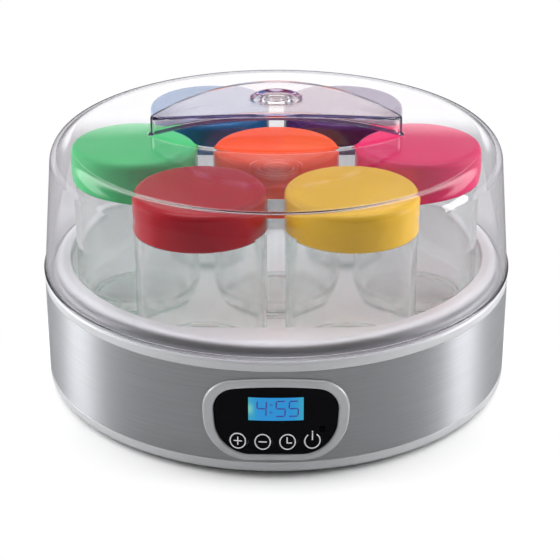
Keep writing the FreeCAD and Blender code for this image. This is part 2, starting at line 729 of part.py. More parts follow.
def make_heating_tray():
    """The coated pan that the jars stand in, clamped between its posts and the shoulder."""
    body = new_body("heating_tray")
    outside = new_sketch(body, "XY_Plane", "tray_under")
    draw_flat_front(outside, "tray_outside", "tray_front_outside")
    pad(body, outside, "plate_under - tray_under")
    round_flat_front(body, "tray_outside", "tray_front_outside", "opening_blend + tray_wall - tray_ledge")
    inside = new_sketch(body, "XY_Plane", "plate_under")
    draw_flat_front(inside, "tray_inside", "tray_front_inside")
    pocket(body, inside, "plate_under - tray_floor")
    round_flat_front(body, "tray_inside", "tray_front_inside", "opening_blend - tray_ledge")
    return keep(body)


def round_flat_front(body, radius, front, blend):
    """Rounds the upright edges where a flat front begins."""
    half = "sqrt(%s^2 - %s^2)" % (radius, front)
    round_off(body, blend, through([(half, "-" + front), ("-" + half, "-" + front)], "xy"))


def make_screws():
    """Four screws from below into the upper housing's columns."""
    body = new_body("housing_screws")
    pads = []
    for radius, low, high in (("screw_head_radius", "foot_height", "screw_seat"),
                              ("screw_radius", "screw_seat", "screw_seat + screw_length")):
        sketch = new_sketch(body, "XY_Plane", low)
        draw_circle(sketch, "column_circle * cos(45)", "column_circle * sin(45)", radius)
        pads.append(pad(body, sketch, "%s - (%s)" % (high, low)))
    ring_of(body, pads, "screw_count")
    return keep(body)


# Heat

def make_heater():
    """Mat, shield, cutout, sensor and leads under the tray."""
    mat = new_body("heater_mat")
    turn(mat, [("mat_inner", "mat_under"), ("mat_radius", "mat_under"),
               ("mat_radius", "tray_under"), ("mat_inner", "tray_under")])
    hole = new_sketch(mat, "XY_Plane", "tray_under")
    draw_circle(hole, "post_circle", "0", "pin_radius + fit_gap")
    ring_of(mat, [pocket(mat, hole, "mat_wall")], "post_count")
    keep(mat)

    shield = new_body("heat_shield")
    turn(shield, [("0", "shield_level"), ("shield_radius", "shield_level"),
                  ("shield_radius", "shield_top"), ("0", "shield_top")])
    passage = new_sketch(shield, "XY_Plane", "shield_top")
    draw_circle(passage, "0", "lead_column", "lead_hole")
    pocket(shield, passage, "shield_wall")
    hole = new_sketch(shield, "XY_Plane", "shield_top")
    draw_circle(hole, "post_circle", "0", "pin_radius + fit_gap")
    ring_of(shield, [pocket(shield, hole, "shield_wall")], "post_count")
    keep(shield)

    keep(rod("thermal_cutout", ("cutout_side", "cutout_side / 2", "mat_under - cutout_height"),
             "cutout_radius", "cutout_height"))
    keep(rod("temperature_sensor", ("-sensor_side", "-sensor_side / 2", "mat_under - sensor_height"),
             "sensor_radius", "sensor_height"))
    leads = [make_lead(number, sign) for number, sign in enumerate(("-", ""), start=1)]
    group("heater_leads", leads)


def make_lead(number, sign):
    """One insulated lead from the terminal block through the shield up to the mat."""
    body = new_body("heater_lead_%d" % number)
    side = sign + "lead_spacing / 2"
    level = "power_board_top + terminal_height / 2"
    path = new_sketch(body, "YZ_Plane", side)
    start = FreeCAD.Vector(size("power_board_front"), size(level), 0)
    turn_in = FreeCAD.Vector(size("lead_column + lead_bend"), size(level), 0)
    turn_out = FreeCAD.Vector(size("lead_column"), size(level + " + lead_bend"), 0)
    top = FreeCAD.Vector(size("lead_column"), size("mat_under"), 0)
    path.addGeometry(Part.LineSegment(start, turn_in))
    path.addGeometry(arc_between(turn_out, turn_in, size("lead_bend")))
    path.addGeometry(Part.LineSegment(turn_out, top))
    path.addConstraint(Sketcher.Constraint("Coincident", 0, 2, 1, 2))
    path.addConstraint(Sketcher.Constraint("Coincident", 1, 1, 2, 1))
    for edge, point, x, y in ((0, 1, "power_board_front", level), (0, 2, "lead_column + lead_bend", level),
                              (2, 1, "lead_column", level + " + lead_bend"),
                              (2, 2, "lead_column", "mat_under")):
        hold(path, "DistanceX", edge, point, x)
        hold(path, "DistanceY", edge, point, y)
    hold_radius(path, 1, "lead_bend")
    section = new_sketch(body, "XZ_Plane", "-power_board_front")
    draw_circle(section, side, level, "lead_radius")
    pipe = feature(body, "AdditivePipe", section)
    pipe.Spine = (path, ["Edge1", "Edge2", "Edge3"])
    return body


# Electronics

def make_power_board():
    """The mains board at the back with its components, standing on four posts."""
    board = new_body("power_board")
    sketch = new_sketch(board, "XY_Plane", "power_board_level")
    side = "power_board_width / 2"
    draw(sketch, [("-" + side, "power_board_front"), (side, "power_board_front"),
                  (side, "power_board_rear"), ("-" + side, "power_board_rear")])
    for x, y in board_post_places():
        draw_circle(sketch, x, y, "board_screw_radius + fit_gap / 3")
    pad(board, sketch, "board_wall")
    keep(board)
    middle = "(power_board_front + power_board_depth / 2)"
    top = "power_board_top"
    half = "transformer_width / 2"
    between = "(transformer_width + power_board_width) / 4"
    keep(box("transformer", ("-" + half, "power_board_rear - transformer_depth", top),
             ("transformer_width", "transformer_depth", "transformer_height")))
    keep(box("heater_relay", (between + " - relay_width / 2", middle + " - relay_depth / 2", top),
             ("relay_width", "relay_depth", "relay_height")))
    keep(rod("filter_capacitor", ("-" + between, middle, top),
             "capacitor_radius", "capacitor_height"))
    keep(box("terminal_block", ("-terminal_width / 2", "power_board_front", top),
             ("terminal_width", "terminal_depth", "terminal_height")))
    screws = []
    for number, (x, y) in enumerate(board_post_places(), start=1):
        head = rod("board_screw_head_%d" % number, (x, y, top), "board_screw_head", "board_screw_radius")
        shank = rod("board_screw_shank_%d" % number, (x, y, top + " - board_wall - board_screw_depth"),
                    "board_screw_radius", "board_screw_depth + board_wall")
        screw = doc.addObject("Part::Fuse", "board_screw_%d" % number)
        screw.Base = head
        screw.Tool = shank
        screws.append(screw)
    group("board_screws", screws)


def make_ribbon():
    """The flat cable from the control board under the shield to the power board."""
    body = new_body("ribbon_cable")
    sketch = new_sketch(body, "YZ_Plane", "ribbon_side - ribbon_width / 2")
    drop = "(ribbon_reach - board_rear)"
    rise = "(power_board_front + ribbon_reach)"
    draw(sketch, [("-board_rear", "ribbon_start"), (drop, "ribbon_start"), (drop, "ribbon_run"),
                  (rise, "ribbon_run"), (rise, "power_board_level"),
                  (rise + " - ribbon_wall", "power_board_level"),
                  (rise + " - ribbon_wall", "ribbon_run + ribbon_wall"),
                  (drop + " + ribbon_wall", "ribbon_run + ribbon_wall"),
                  (drop + " + ribbon_wall", "ribbon_start + ribbon_wall"),
                  ("-board_rear", "ribbon_start + ribbon_wall")])
    pad(body, sketch, "ribbon_width")
    return keep(body)


def make_control_board():
    """The upright board behind the panel with switches, buzzer and microcontroller."""
    keep(box("control_board", ("-control_board_width / 2", "-board_front", "control_board_low"),
             ("control_board_width", "board_wall", "control_board_height")))
    backwards = FreeCAD.Rotation(FreeCAD.Vector(1, 0, 0), -90)
    forwards = FreeCAD.Rotation(FreeCAD.Vector(1, 0, 0), 90)
    middle = "(control_board_low + control_board_height / 2)"
    keep(rod("buzzer", ("-buzzer_side", "-board_rear", middle), "buzzer_radius", "buzzer_depth", backwards))
    keep(box("microcontroller", ("buzzer_side - chip_side / 2", "-board_rear", middle),
             ("chip_side", "chip_wall", "chip_side")))
    switches = []
    for name, place in BUTTONS:
        x = "%s * button_pitch" % place
        base = box("switch_base_" + name, (x + " - switch_side / 2", "-switch_front",
                                           "button_level - switch_side / 2"),
                   ("switch_side", "switch_front - board_front", "switch_side"))
        nub = rod("switch_nub_" + name, (x, "-switch_front", "button_level"),
                  "switch_nub_radius", "switch_nub", forwards)
        switch = doc.addObject("Part::Fuse", "switch_" + name)
        switch.Base = base
        switch.Tool = nub
        switches.append(switch)
    group("tact_switches", switches)


# Control panel

def make_bezel():
    """The grey frame: a face outside the band and a collar through its window."""
    body = panel_form("control_bezel", "0", "0", "0")
    trim(body, "band_radius + fit_gap / 2", "bezel_front")
    collar = lip_form("bezel_collar_form", "fit_gap")
    trim(collar, "bezel_back", "bezel_front")
    combine(body, "Fuse", collar)
    combine(body, "Cut", face_form("bezel_window_form", "0"))
    front = size("bezel_front")
    round_off(body, "bezel_edge", lambda edge: on_cylinder(edge, front))
    return keep(body)


def on_cylinder(edge, radius):
    """Whether an edge lies all along on a cylinder about Z."""
    first, last = edge.FirstParameter, edge.LastParameter
    spots = [edge.valueAt(first + (last - first) * share) for share in (0, 0.5, 1)]
    return all(abs((spot.x ** 2 + spot.y ** 2) ** 0.5 - radius) < NEAR * 10 for spot in spots)


def make_panel():
    """The black panel with its holes, the display behind it, the indicator and the buttons."""
    body = face_form("control_panel", "fit_gap")
    trim(body, "panel_back", "panel_front")
    holes = new_sketch(body, "XZ_Plane", "outside")
    for name, place in BUTTONS:
        draw_circle(holes, "%s * button_pitch" % place, "button_level", "button_radius + fit_gap")
    draw_circle(holes, "indicator_side", "indicator_level", "indicator_radius + fit_gap / 3")
    draw(holes, display_corners("fit_gap / 3"))
    pocket(body, holes, "outside - tray_outside")
    keep(body)

    window = new_body("display_window")
    sketch = new_sketch(window, "XZ_Plane", "tray_outside")
    draw(sketch, display_corners("0"))
    pad(window, sketch, "bezel_front - tray_outside")
    trim(window, "panel_back", "panel_front")
    keep(window)

    module = new_body("display_module")
    sketch = new_sketch(module, "XZ_Plane", "board_front")
    draw(sketch, display_corners("display_border"))
    pad(module, sketch, "bezel_front - board_front")
    trim(module, None, "display_back")
    keep(module)

    lens = new_body("indicator_lens")
    sketch = new_sketch(lens, "XZ_Plane", "tray_outside")
    draw_circle(sketch, "indicator_side", "indicator_level", "indicator_radius")
    pad(lens, sketch, "bezel_front - tray_outside")
    trim(lens, "panel_back", "panel_front")
    keep(lens)

    for name, place in BUTTONS:
        make_button(name, "%s * button_pitch" % place)


def display_corners(margin):
    """Corners of the display's window, grown by a margin."""
    side = "(display_width / 2 + %s)" % margin
    low = "display_low - %s" % margin
    high = "display_low + display_height + %s" % margin
    return [("-" + side, low), (side, low), (side, high), ("-" + side, high)]


def make_button(name, x):
    """A push button: a round cap flush with the panel and a flange behind it."""
    body = new_body("button_" + name)
    sketch = new_sketch(body, "XZ_Plane", "flange_rear")
    draw_circle(sketch, x, "button_level", "button_radius")
    pad(body, sketch, "bezel_front - flange_rear")
    trim(body, None, "panel_front")
    flange = new_sketch(body, "XZ_Plane", "flange_rear")
    draw_circle(flange, x, "button_level", "flange_reach")
    pad(body, flange, "button_flange_wall")
    return keep(body)


def make_gland():
    """The bush in the rear wall that the mains cord comes in through."""
    body = new_body("cord_gland")
    outside = "band_radius + fit_gap"
    sketch = new_sketch(body, "XZ_Plane", "-(%s + gland_collar)" % outside)
    draw_circle(sketch, "0", "gland_level", "gland_head")
    pad(body, sketch, "gland_collar")
    sleeve = new_sketch(body, "XZ_Plane", "-(%s)" % outside)
    draw_circle(sleeve, "0", "gland_level", "gland_radius")
    pad(body, sleeve, "%s - wall_inside + gland_tail" % outside)
    rear_hole(body, "gland_bore")
    return keep(body)


# Cover

def make_cover():
    """One clear moulding: its outer form less its inner form."""
    outer = new_body("cover_outer_form")
    land = "(cover_foot - cover_wall + seat_width)"
    turn(outer, [("0", "ledge"), (land, "ledge"), (land, "flange_under"),
                 ("flange_radius", "flange_under"), ("flange_radius", "flange_top"),
                 ("cover_foot", "flange_top"), ("cover_crown", "cover_top"), ("0", "cover_top")])
    round_off(outer, "cover_corner", at_ring("cover_crown", "cover_top"))
    add_grip(outer, "0", "grip_edge", "cover_ceiling")
    add_dimple(outer)

    inner = new_body("cover_inner_form")
    foot = "(cover_foot - cover_wall)"
    crown = "(cover_crown - cover_wall)"
    turn(inner, [("0", "band_top"), (foot, "band_top"), (foot, "flange_top"),
                 (crown, "cover_ceiling"), ("0", "cover_ceiling")])
    round_off(inner, "cover_corner - cover_wall", at_ring(crown, "cover_ceiling"))
    add_grip(inner, "cover_wall", "grip_inner_edge", "cover_ceiling - cover_wall")

    cover = doc.addObject("Part::Cut", "clear_cover")
    cover.Base = outer
    cover.Tool = inner
    return keep(cover)


def add_dimple(body):
    """Sinks a round dimple with a raised ring into the top of the grip."""
    bottom = "grip_peak - dimple_depth"
    crest = bottom + " + dimple_ring_rise"
    ring_in = "(dimple_ring - dimple_ring_width / 2)"
    ring_out = "(dimple_ring + dimple_ring_width / 2)"
    turn(body, [("0", bottom), (ring_in + " - dimple_slope", bottom), (ring_in, crest), (ring_out, crest),
                (ring_out + " + dimple_slope", bottom), ("dimple_radius - dimple_slope", bottom),
                ("dimple_radius", "grip_peak - dimple_rim"), ("dimple_radius", "grip_peak + grip_arch"),
                ("0", "grip_peak + grip_arch")], "Groove")


def add_grip(body, inset, edge_radius, low):
    """Adds the lens-shaped grip with its arched top, moved inwards by an inset."""
    bow = "(grip_bow - %s)" % inset
    half = "sqrt(%s^2 - (grip_bow - grip_width / 2)^2)" % bow
    lens = new_sketch(body, "XY_Plane", low)
    draw(lens, [("-" + half, "0"), (half, "0")], {0: bow, 1: bow})
    pad(body, lens, "grip_peak + grip_arch - (%s)" % low)
    round_off(body, "grip_end_round - %s" % inset, through([(half, "0"), ("-" + half, "0")], "xy"))

    arch = "(grip_arch_radius - %s)" % inset
    reach = "(grip_length / 2)"
    foot = "(grip_peak - grip_arch_radius + sqrt(%s^2 - %s^2))" % (arch, reach)
    above = new_sketch(body, "XZ_Plane", "-grip_width")
    draw(above, [("-" + reach, foot), (reach, foot), (reach, "grip_peak + 2 * grip_arch"),
                 ("-" + reach, "grip_peak + 2 * grip_arch")], hollows={0: arch})
    pocket(body, above, "2 * grip_width", along=True)
    lowest = size("cover_top") + NEAR
    highest = size("grip_peak") + NEAR
    round_off(body, edge_radius, lambda edge: on_arch(edge, lowest, highest, size(arch)))


def on_arch(edge, lowest, highest, radius):
    """Whether an edge lies on the grip's arched top."""
    axis_height = size("grip_peak - grip_arch_radius")
    first, last = edge.FirstParameter, edge.LastParameter
    spots = [edge.valueAt(first + (last - first) * share) for share in (0, 0.5, 1)]
    return all(lowest < spot.z < highest
               and abs((spot.x ** 2 + (spot.z - axis_height) ** 2) ** 0.5 - radius) < NEAR * 100
               for spot in spots)


# Jars

def stand_at(body, angle):
    """Places a jar or a cap on its seat; no angle means the middle seat."""
    if angle is None:
        return
    bind(body, "Placement.Base.x", "jar_pitch * cos(%d)" % angle)
    bind(body, "Placement.Base.y", "jar_pitch * sin(%d)" % angle)


def make_jar(name, angle):
    """A glass jar with a stepped foot, a curved heel and a neck for its cap."""
    body = new_body("jar_" + name)
    heel = "(jar_radius - jar_heel_inset)"
    heel_middle = "heel_start + jar_heel_step"
    heel_top = "heel_start + jar_heel_rise"
    bore = "(jar_radius - jar_wall)"
    foot_inside = "jar_foot_radius - jar_foot_width"
    turn(body, [("0", "tray_floor + jar_punt"), (foot_inside, "tray_floor + jar_punt"),
                (foot_inside, "tray_floor"), ("jar_foot_radius", "tray_floor"),
                ("jar_foot_radius", "heel_start"), (heel, heel_middle), ("jar_radius", heel_top),
                ("jar_radius", "neck_bottom - neck_slope"), ("neck_radius", "neck_bottom"),
                ("neck_radius", "jar_lip"), ("neck_bore", "jar_lip"), ("neck_bore", "neck_bottom"),
                (bore, "neck_bottom - neck_slope"), (bore, heel_top),
                ("jar_foot_radius - jar_wall / 2", "tray_floor + jar_base + jar_punt"),
                ("0", "tray_floor + jar_base")])
    round_off(body, "jar_heel_round", at_ring(heel, heel_middle))
    round_off(body, "jar_heel_round", at_ring("jar_radius", heel_top))
    stand_at(body, angle)
    return keep(body)


def make_cap(name, angle):
    """A smooth push-on cap with a sealing ring inside."""
    body = new_body("cap_" + name)
    skirt = "(cap_radius - cap_wall)"
    plug = "(neck_bore - fit_gap)"
    plug_bore = "(%s - cap_wall)" % plug
    turn(body, [("0", "jar_lip"), (plug_bore, "jar_lip"), (plug_bore, "jar_lip - plug_depth"),
                (plug, "jar_lip - plug_depth"), (plug, "jar_lip"), (skirt, "jar_lip"), (skirt, "cap_bottom"),
                ("cap_radius", "cap_bottom"), ("cap_radius", "cap_top"), ("0", "cap_top")])
    round_off(body, "cap_edge", at_ring("cap_radius", "cap_top"))
    stand_at(body, angle)
    return keep(body)


make_feet()
make_lower_housing()
make_wall_ring()
make_steel_band()
make_upper_housing()
make_heating_tray()
make_screws()
make_heater()
make_power_board()
make_ribbon()
make_control_board()
make_bezel()
make_panel()
make_gland()
make_cover()
for seat, seat_angle in OUTER_SEATS + (("middle", None),):
    make_jar(seat, seat_angle)
    make_cap(seat, seat_angle)
doc.recompute()

failed = [item.Label for item in doc.Objects if {"Invalid", "Error"} & set(item.State)]
if failed:
    raise RuntimeError("features that failed: " + ", ".join(failed))
for piece in pieces:
    if piece.Shape.isNull() or not piece.Shape.isValid():
        raise RuntimeError(piece.Label + " has no valid shape")

os.makedirs("parts", exist_ok=True)
for piece in pieces:
    piece.Shape.exportStep("parts/%s.step" % piece.Label)
    print("%-20s solids %d, volume %.0f mm3" % (piece.Label, len(piece.Shape.Solids), piece.Shape.Volume))
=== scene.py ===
"""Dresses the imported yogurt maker: banded base, heated tray, capped jars and clear cover.

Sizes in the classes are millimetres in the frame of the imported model; meshes are in metres.
"""

import logging
import math
from abc import ABC, abstractmethod
from collections.abc import Callable, Iterable, Sequence
from dataclasses import dataclass, field, replace
from enum import Enum

import bmesh
import bpy
from mathutils import Matrix, Vector
from mathutils.geometry import delaunay_2d_cdt


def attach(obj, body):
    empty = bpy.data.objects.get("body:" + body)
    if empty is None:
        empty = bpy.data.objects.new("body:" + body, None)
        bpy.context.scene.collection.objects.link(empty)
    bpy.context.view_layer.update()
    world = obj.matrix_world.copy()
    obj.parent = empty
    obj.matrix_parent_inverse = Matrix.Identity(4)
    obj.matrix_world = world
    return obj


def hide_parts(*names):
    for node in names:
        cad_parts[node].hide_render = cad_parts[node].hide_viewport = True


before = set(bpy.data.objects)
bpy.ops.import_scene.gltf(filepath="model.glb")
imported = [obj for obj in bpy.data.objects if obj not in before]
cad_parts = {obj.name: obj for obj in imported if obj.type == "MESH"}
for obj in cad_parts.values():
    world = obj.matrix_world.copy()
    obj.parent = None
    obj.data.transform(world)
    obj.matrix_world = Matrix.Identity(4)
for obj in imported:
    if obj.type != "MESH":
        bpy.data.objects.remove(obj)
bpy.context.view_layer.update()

LOG = logging.getLogger("yogurt_maker")

MM = 0.001
FULL_TURN = 2 * math.pi
QUARTER_TURN = math.pi / 2
ON_AXIS = 1e-6

Plane = tuple[float, float]
Spot = tuple[float, float, float]
Colour = tuple[float, float, float, float]
Ring = list[bmesh.types.BMVert]


def tint(red: float, green: float, blue: float) -> Colour:
    """Turns a screen colour of 0 to 255 into the linear colour that shaders take.

    Args:
        red: red of the screen colour.
        green: green of the screen colour.
        blue: blue of the screen colour.

    Returns:
        The linear colour with full alpha.
    """
    def linear(value: float) -> float:
        """One channel, by the usual screen curve."""
        share = value / 255
        return share / 12.92 if share <= 0.04045 else ((share + 0.055) / 1.055) ** 2.4
    return linear(red), linear(green), linear(blue), 1.0


def grey(level: float) -> Colour:
    """A linear grey."""
    return level, level, level, 1.0


def dimmed(colour: Colour, share: float) -> Colour:
    """A colour with a share of its light."""
    return (*(part * share for part in colour[:3]), 1.0)


# Nodes

class Wire:
    """One output socket; arithmetic on it adds Math nodes to its tree."""

    def __init__(self, bench: "Bench", socket: bpy.types.NodeSocket) -> None:
        """Wraps a socket of the bench's tree."""
        self.bench = bench
        self.socket = socket

    def __add__(self, other: "Wire | float") -> "Wire":
        """Sum."""
        return self.bench.maths("ADD", self, other)

    def __sub__(self, other: "Wire | float") -> "Wire":
        """Difference."""
        return self.bench.maths("SUBTRACT", self, other)

    def __rsub__(self, other: float) -> "Wire":
        """Difference from a number."""
        return self.bench.maths("SUBTRACT", other, self)

    def __mul__(self, other: "Wire | float") -> "Wire":
        """Product."""
        return self.bench.maths("MULTIPLY", self, other)

    def __truediv__(self, other: "Wire | float") -> "Wire":
        """Quotient."""
        return self.bench.maths("DIVIDE", self, other)

    def __pow__(self, other: float) -> "Wire":
        """Power."""
        return self.bench.maths("POWER", self, other)

    __radd__ = __add__
    __rmul__ = __mul__


class Bench:
    """Adds nodes to one tree, of a material, a world or geometry."""

    def __init__(self, tree: bpy.types.NodeTree) -> None:
        """Works on an emptied tree."""
        self.tree = tree
        tree.nodes.clear()

    def node(self, kind: str, settings: dict | None = None, sockets: dict | None = None,
             output: int | str = 0) -> Wire | None:
        """Adds a node of any kind.

        Args:
            kind: the node's type name.
            settings: attributes set first.
            sockets: values or wires by input name or number.
            output: which output to hand back.

        Returns:
            The chosen output, or None for a node without outputs.
        """
        made = self.tree.nodes.new(kind)
        for name, value in (settings or {}).items():
            setattr(made, name, value)
        for key, value in (sockets or {}).items():
            if isinstance(value, Wire):
                self.tree.links.new(value.socket, made.inputs[key])
            else:
                made.inputs[key].default_value = value
        return Wire(self, made.outputs[output]) if made.outputs else None

    def maths(self, operation: str, first: Wire | float, second: Wire | float = 0.0) -> Wire:
        """A Math node on two values."""
        return self.node("ShaderNodeMath", {"operation": operation}, {0: first, 1: second})

    def blend(self, first: Wire | Colour, second: Wire | Colour, share: Wire | float) -> Wire:
        """Mixes two colours."""
        return self.node("ShaderNodeMix", {"data_type": "RGBA"}, {0: share, 6: first, 7: second}, 2)

    def span(self, value: Wire, low: float, high: float, start: float = 0.0, end: float = 1.0) -> Wire:
        """Maps low..high smoothly onto start..end."""
        return self.node("ShaderNodeMapRange", {"interpolation_type": "SMOOTHSTEP"},
                         {0: value, 1: low, 2: high, 3: start, 4: end})

    def window(self, value: Wire, rise: Plane, fall: Plane) -> Wire:
        """One between a smooth rise and a smooth fall, and nothing beyond."""
        return self.span(value, *rise) * self.span(value, *reversed(fall))

    def place(self, source: str, scale: Spot = (1.0, 1.0, 1.0)) -> Wire:
        """A texture coordinate, stretched."""
        spot = self.node("ShaderNodeTexCoord", output=source)
        return self.node("ShaderNodeMapping", sockets={"Vector": spot, "Scale": scale})

    def noise(self, where: Wire, scale: float, detail: float = 2.0) -> Wire:
        """Even noise from 0 to 1."""
        return self.node("ShaderNodeTexNoise", sockets={"Vector": where, "Scale": scale, "Detail": detail})

    def bump(self, height: Wire, strength: float, distance: float) -> Wire:
        """A normal roughened by a height."""
        return self.node("ShaderNodeBump", sockets={"Strength": strength, "Distance": distance,
                                                    "Height": height})

    def principled(self, sockets: dict) -> Wire:
        """The main surface shader."""
        return self.node("ShaderNodeBsdfPrincipled", sockets=sockets)

    def axes(self, vector: Wire) -> tuple[Wire, Wire, Wire]:
        """The three parts of a vector."""
        parts = self.node("ShaderNodeSeparateXYZ", sockets={0: vector})
        return tuple(Wire(self, socket) for socket in parts.socket.node.outputs)

    def light_path(self, name: str) -> Wire:
        """One answer of the Light Path node."""
        return self.node("ShaderNodeLightPath", output=name)


# Finishes

class Finish(ABC):
    """A surface that turns itself into one Blender material."""

    name: str

    @abstractmethod
    def surface(self, bench: Bench) -> Wire:
        """Lays out the surface shader."""

    def volume(self, bench: Bench) -> Wire | None:
        """Lays out what fills the piece, where it is see-through."""
        return None

    def material(self) -> bpy.types.Material:
        """The material of this finish, made on first use.

        Returns:
            The Blender material.
        """
        made = bpy.data.materials.get(self.name)
        if made is None:
            made = bpy.data.materials.new(self.name)
            made.use_nodes = True
            bench = Bench(made.node_tree)
            sockets = {"Surface": self.surface(bench)}
            inside = self.volume(bench)
            if inside is not None:
                sockets["Volume"] = inside
            bench.node("ShaderNodeOutputMaterial", sockets=sockets)
        return made


@dataclass(frozen=True)
class Moulding(Finish):
    """Moulded plastic or rubber with a fine grain and faint unevenness of colour."""

    name: str
    colour: Colour
    roughness: float = 0.32
    mottle: float = 0.06
    grain: float = 2600.0
    grain_depth: float = 0.00002
    grain_strength: float = 0.12
    specular: float = 0.5
    coat: float = 0.0

    def surface(self, bench: Bench) -> Wire:
        """Colour drifts over centimetres, gloss and grain over tenths of a millimetre.

        Args:
            bench: the material's nodes.

        Returns:
            The surface shader.
        """
        where = bench.place("Object")
        drift = bench.noise(where, 38.0, 3.0)
        fine = bench.noise(where, self.grain, 1.0)
        darker = dimmed(self.colour, 1 - 2 * self.mottle)
        return bench.principled({
            "Base Color": bench.blend(darker, self.colour, bench.span(drift, 0.25, 0.75)),
            "Roughness": self.roughness + 0.16 * self.roughness * (drift + fine - 1.0),
            "Specular IOR Level": self.specular,
            "Coat Weight": self.coat,
            "Coat Roughness": 0.08,
            "Normal": bench.bump(fine, self.grain_strength, self.grain_depth),
        })


@dataclass(frozen=True)
class SilverPaint(Finish):
    """Silver lacquer: metal flakes under a clear coat."""

    name: str
    colour: Colour
    roughness: float
    metallic: float = 0.8
    coat: float = 0.3
    flake: float = 5200.0
    # pale: heights and least metal share of a painted pale top; less metal renders the flat top paler and leaves
    # the roundover below darker, which is painted light and shade.
    pale: tuple[float, float, float] | None = None

    def surface(self, bench: Bench) -> Wire:
        """Flakes sparkle slightly in colour and tilt and the gloss drifts; where pale heights are given, the metal
        share falls towards the flat top, so the top renders paler and the lower roundover darker: painted light
        and shade.

        Args:
            bench: the material's nodes.

        Returns:
            The surface shader.
        """
        where = bench.place("Object")
        flakes = bench.node("ShaderNodeTexVoronoi", sockets={"Vector": where, "Scale": self.flake}, output="Color")
        sparkle = bench.node("ShaderNodeSeparateColor", sockets={0: flakes})
        drift = bench.noise(where, 24.0, 2.0)
        dull = dimmed(self.colour, 0.93)
        metallic = self.metallic
        # Painted light and shade: the metal share falls with height, so the flat top renders paler and the
        # roundover below darker.
        if self.pale:
            low, high, least = self.pale
            metallic = bench.span(bench.axes(where)[2], low * MM, high * MM, self.metallic, least)
        return bench.principled({
            "Base Color": bench.blend(dull, self.colour, sparkle * 0.7 + 0.3 * drift),
            "Metallic": metallic,
            "Roughness": self.roughness * (0.9 + 0.2 * drift),
            "Coat Weight": self.coat,
            "Coat Roughness": 0.06,
            "Normal": bench.bump(sparkle, 0.05, 0.00002),
        })


@dataclass(frozen=True)
class BrushedSteel(Finish):
    """Stainless sheet brushed along its length; the map's u runs round the band."""

    name: str
    colour: Colour
    roughness: float
    streak: Spot = (14.0, 2400.0, 1.0)
    hair: Spot = (60.0, 9000.0, 1.0)

    def surface(self, bench: Bench) -> Wire:
        """Long streaks change colour, gloss and height; light spreads across them.

        Args:
            bench: the material's nodes.

        Returns:
            The surface shader.
        """
        streaks = bench.noise(bench.place("UV", self.streak), 1.0, 4.0)
        hairs = bench.noise(bench.place("UV", self.hair), 1.0, 2.0)
        marks = 0.6 * streaks + 0.4 * hairs
        dull = dimmed(self.colour, 0.82)
        return bench.principled({
            "Base Color": bench.blend(dull, self.colour, bench.span(marks, 0.3, 0.7)),
            "Metallic": 0.72,
            "Roughness": self.roughness + 0.14 * (marks - 0.5),
            "Anisotropic": 0.9,
            "Anisotropic Rotation": 0.25,
            "Normal": bench.bump(marks, 0.08, 0.00002),
        })


@dataclass(frozen=True)
class SeeThrough(Finish):
    """Glass or clear plastic that bends light, tints it by depth and lets lamps through."""

    name: str
    index: float
    absorbed: Colour
    density: float
    ripple: float
    ripple_scale: float = 70.0
    roughness: float = 0.0
    face: Colour = grey(1.0)

    def surface(self, bench: Bench) -> Wire:
        """Clear for lamps and scattered light, refracting for everything seen.

        Args:
            bench: the material's nodes.

        Returns:
            The surface shader.
        """
        where = bench.place("Object")
        wave = bench.noise(where, self.ripple_scale, 1.0)
        smear = bench.noise(where, 26.0, 3.0)
        clear = bench.node("ShaderNodeBsdfTransparent")
        bent = bench.principled({
            "Base Color": bench.blend(dimmed(self.face, 0.985), self.face, smear),
            "Roughness": self.roughness,
            "IOR": self.index,
            "Transmission Weight": 1.0,
            "Normal": bench.bump(wave, self.ripple, 0.0004),
        })
        scattered = bench.node("ShaderNodeMixShader",
                               sockets={0: bench.light_path("Is Diffuse Ray"), 1: bent, 2: clear})
        return bench.node("ShaderNodeMixShader",
                          sockets={0: bench.light_path("Is Shadow Ray"), 1: scattered, 2: clear})

    def volume(self, bench: Bench) -> Wire:
        """Absorption by depth."""
        return bench.node("ShaderNodeVolumeAbsorption",
                          sockets={"Color": self.absorbed, "Density": self.density})


@dataclass(frozen=True)
class Backlight(Finish):
    """The lit display: blue, greener at both ends where the lamps sit."""

    name: str
    middle: Colour
    ends: Colour
    glow: Colour
    half_width: float
    half_height: float
    level: float

    def surface(self, bench: Bench) -> Wire:
        """Colour by the distance from the display's middle, with a bright spot at one end.

        Args:
            bench: the material's nodes.

        Returns:
            The surface shader.
        """
        where = bench.node("ShaderNodeTexCoord", output="Object")
        across, _, height = bench.axes(where)
        side = bench.maths("ABSOLUTE", across) / (self.half_width * MM)
        cast = bench.blend(self.middle, self.ends, bench.span(side, 0.55, 1.05, 0.0, 0.85))
        rise = bench.maths("ABSOLUTE", height - self.level * MM) / (self.half_height * MM)
        near_end = bench.span(across / (self.half_width * MM), -0.72, -1.0)
        spot = near_end * bench.span(rise, 0.75, 0.0)
        fleck = bench.noise(where, 1800.0, 1.0)
        shown = bench.blend(cast, self.glow, spot * (0.75 + 0.1 * fleck))
        return bench.principled({
            "Base Color": (0.004, 0.02, 0.04, 1.0),
            "Roughness": 0.1 + 0.06 * fleck,
            "Emission Color": shown,
            "Emission Strength": 1.0,
        })


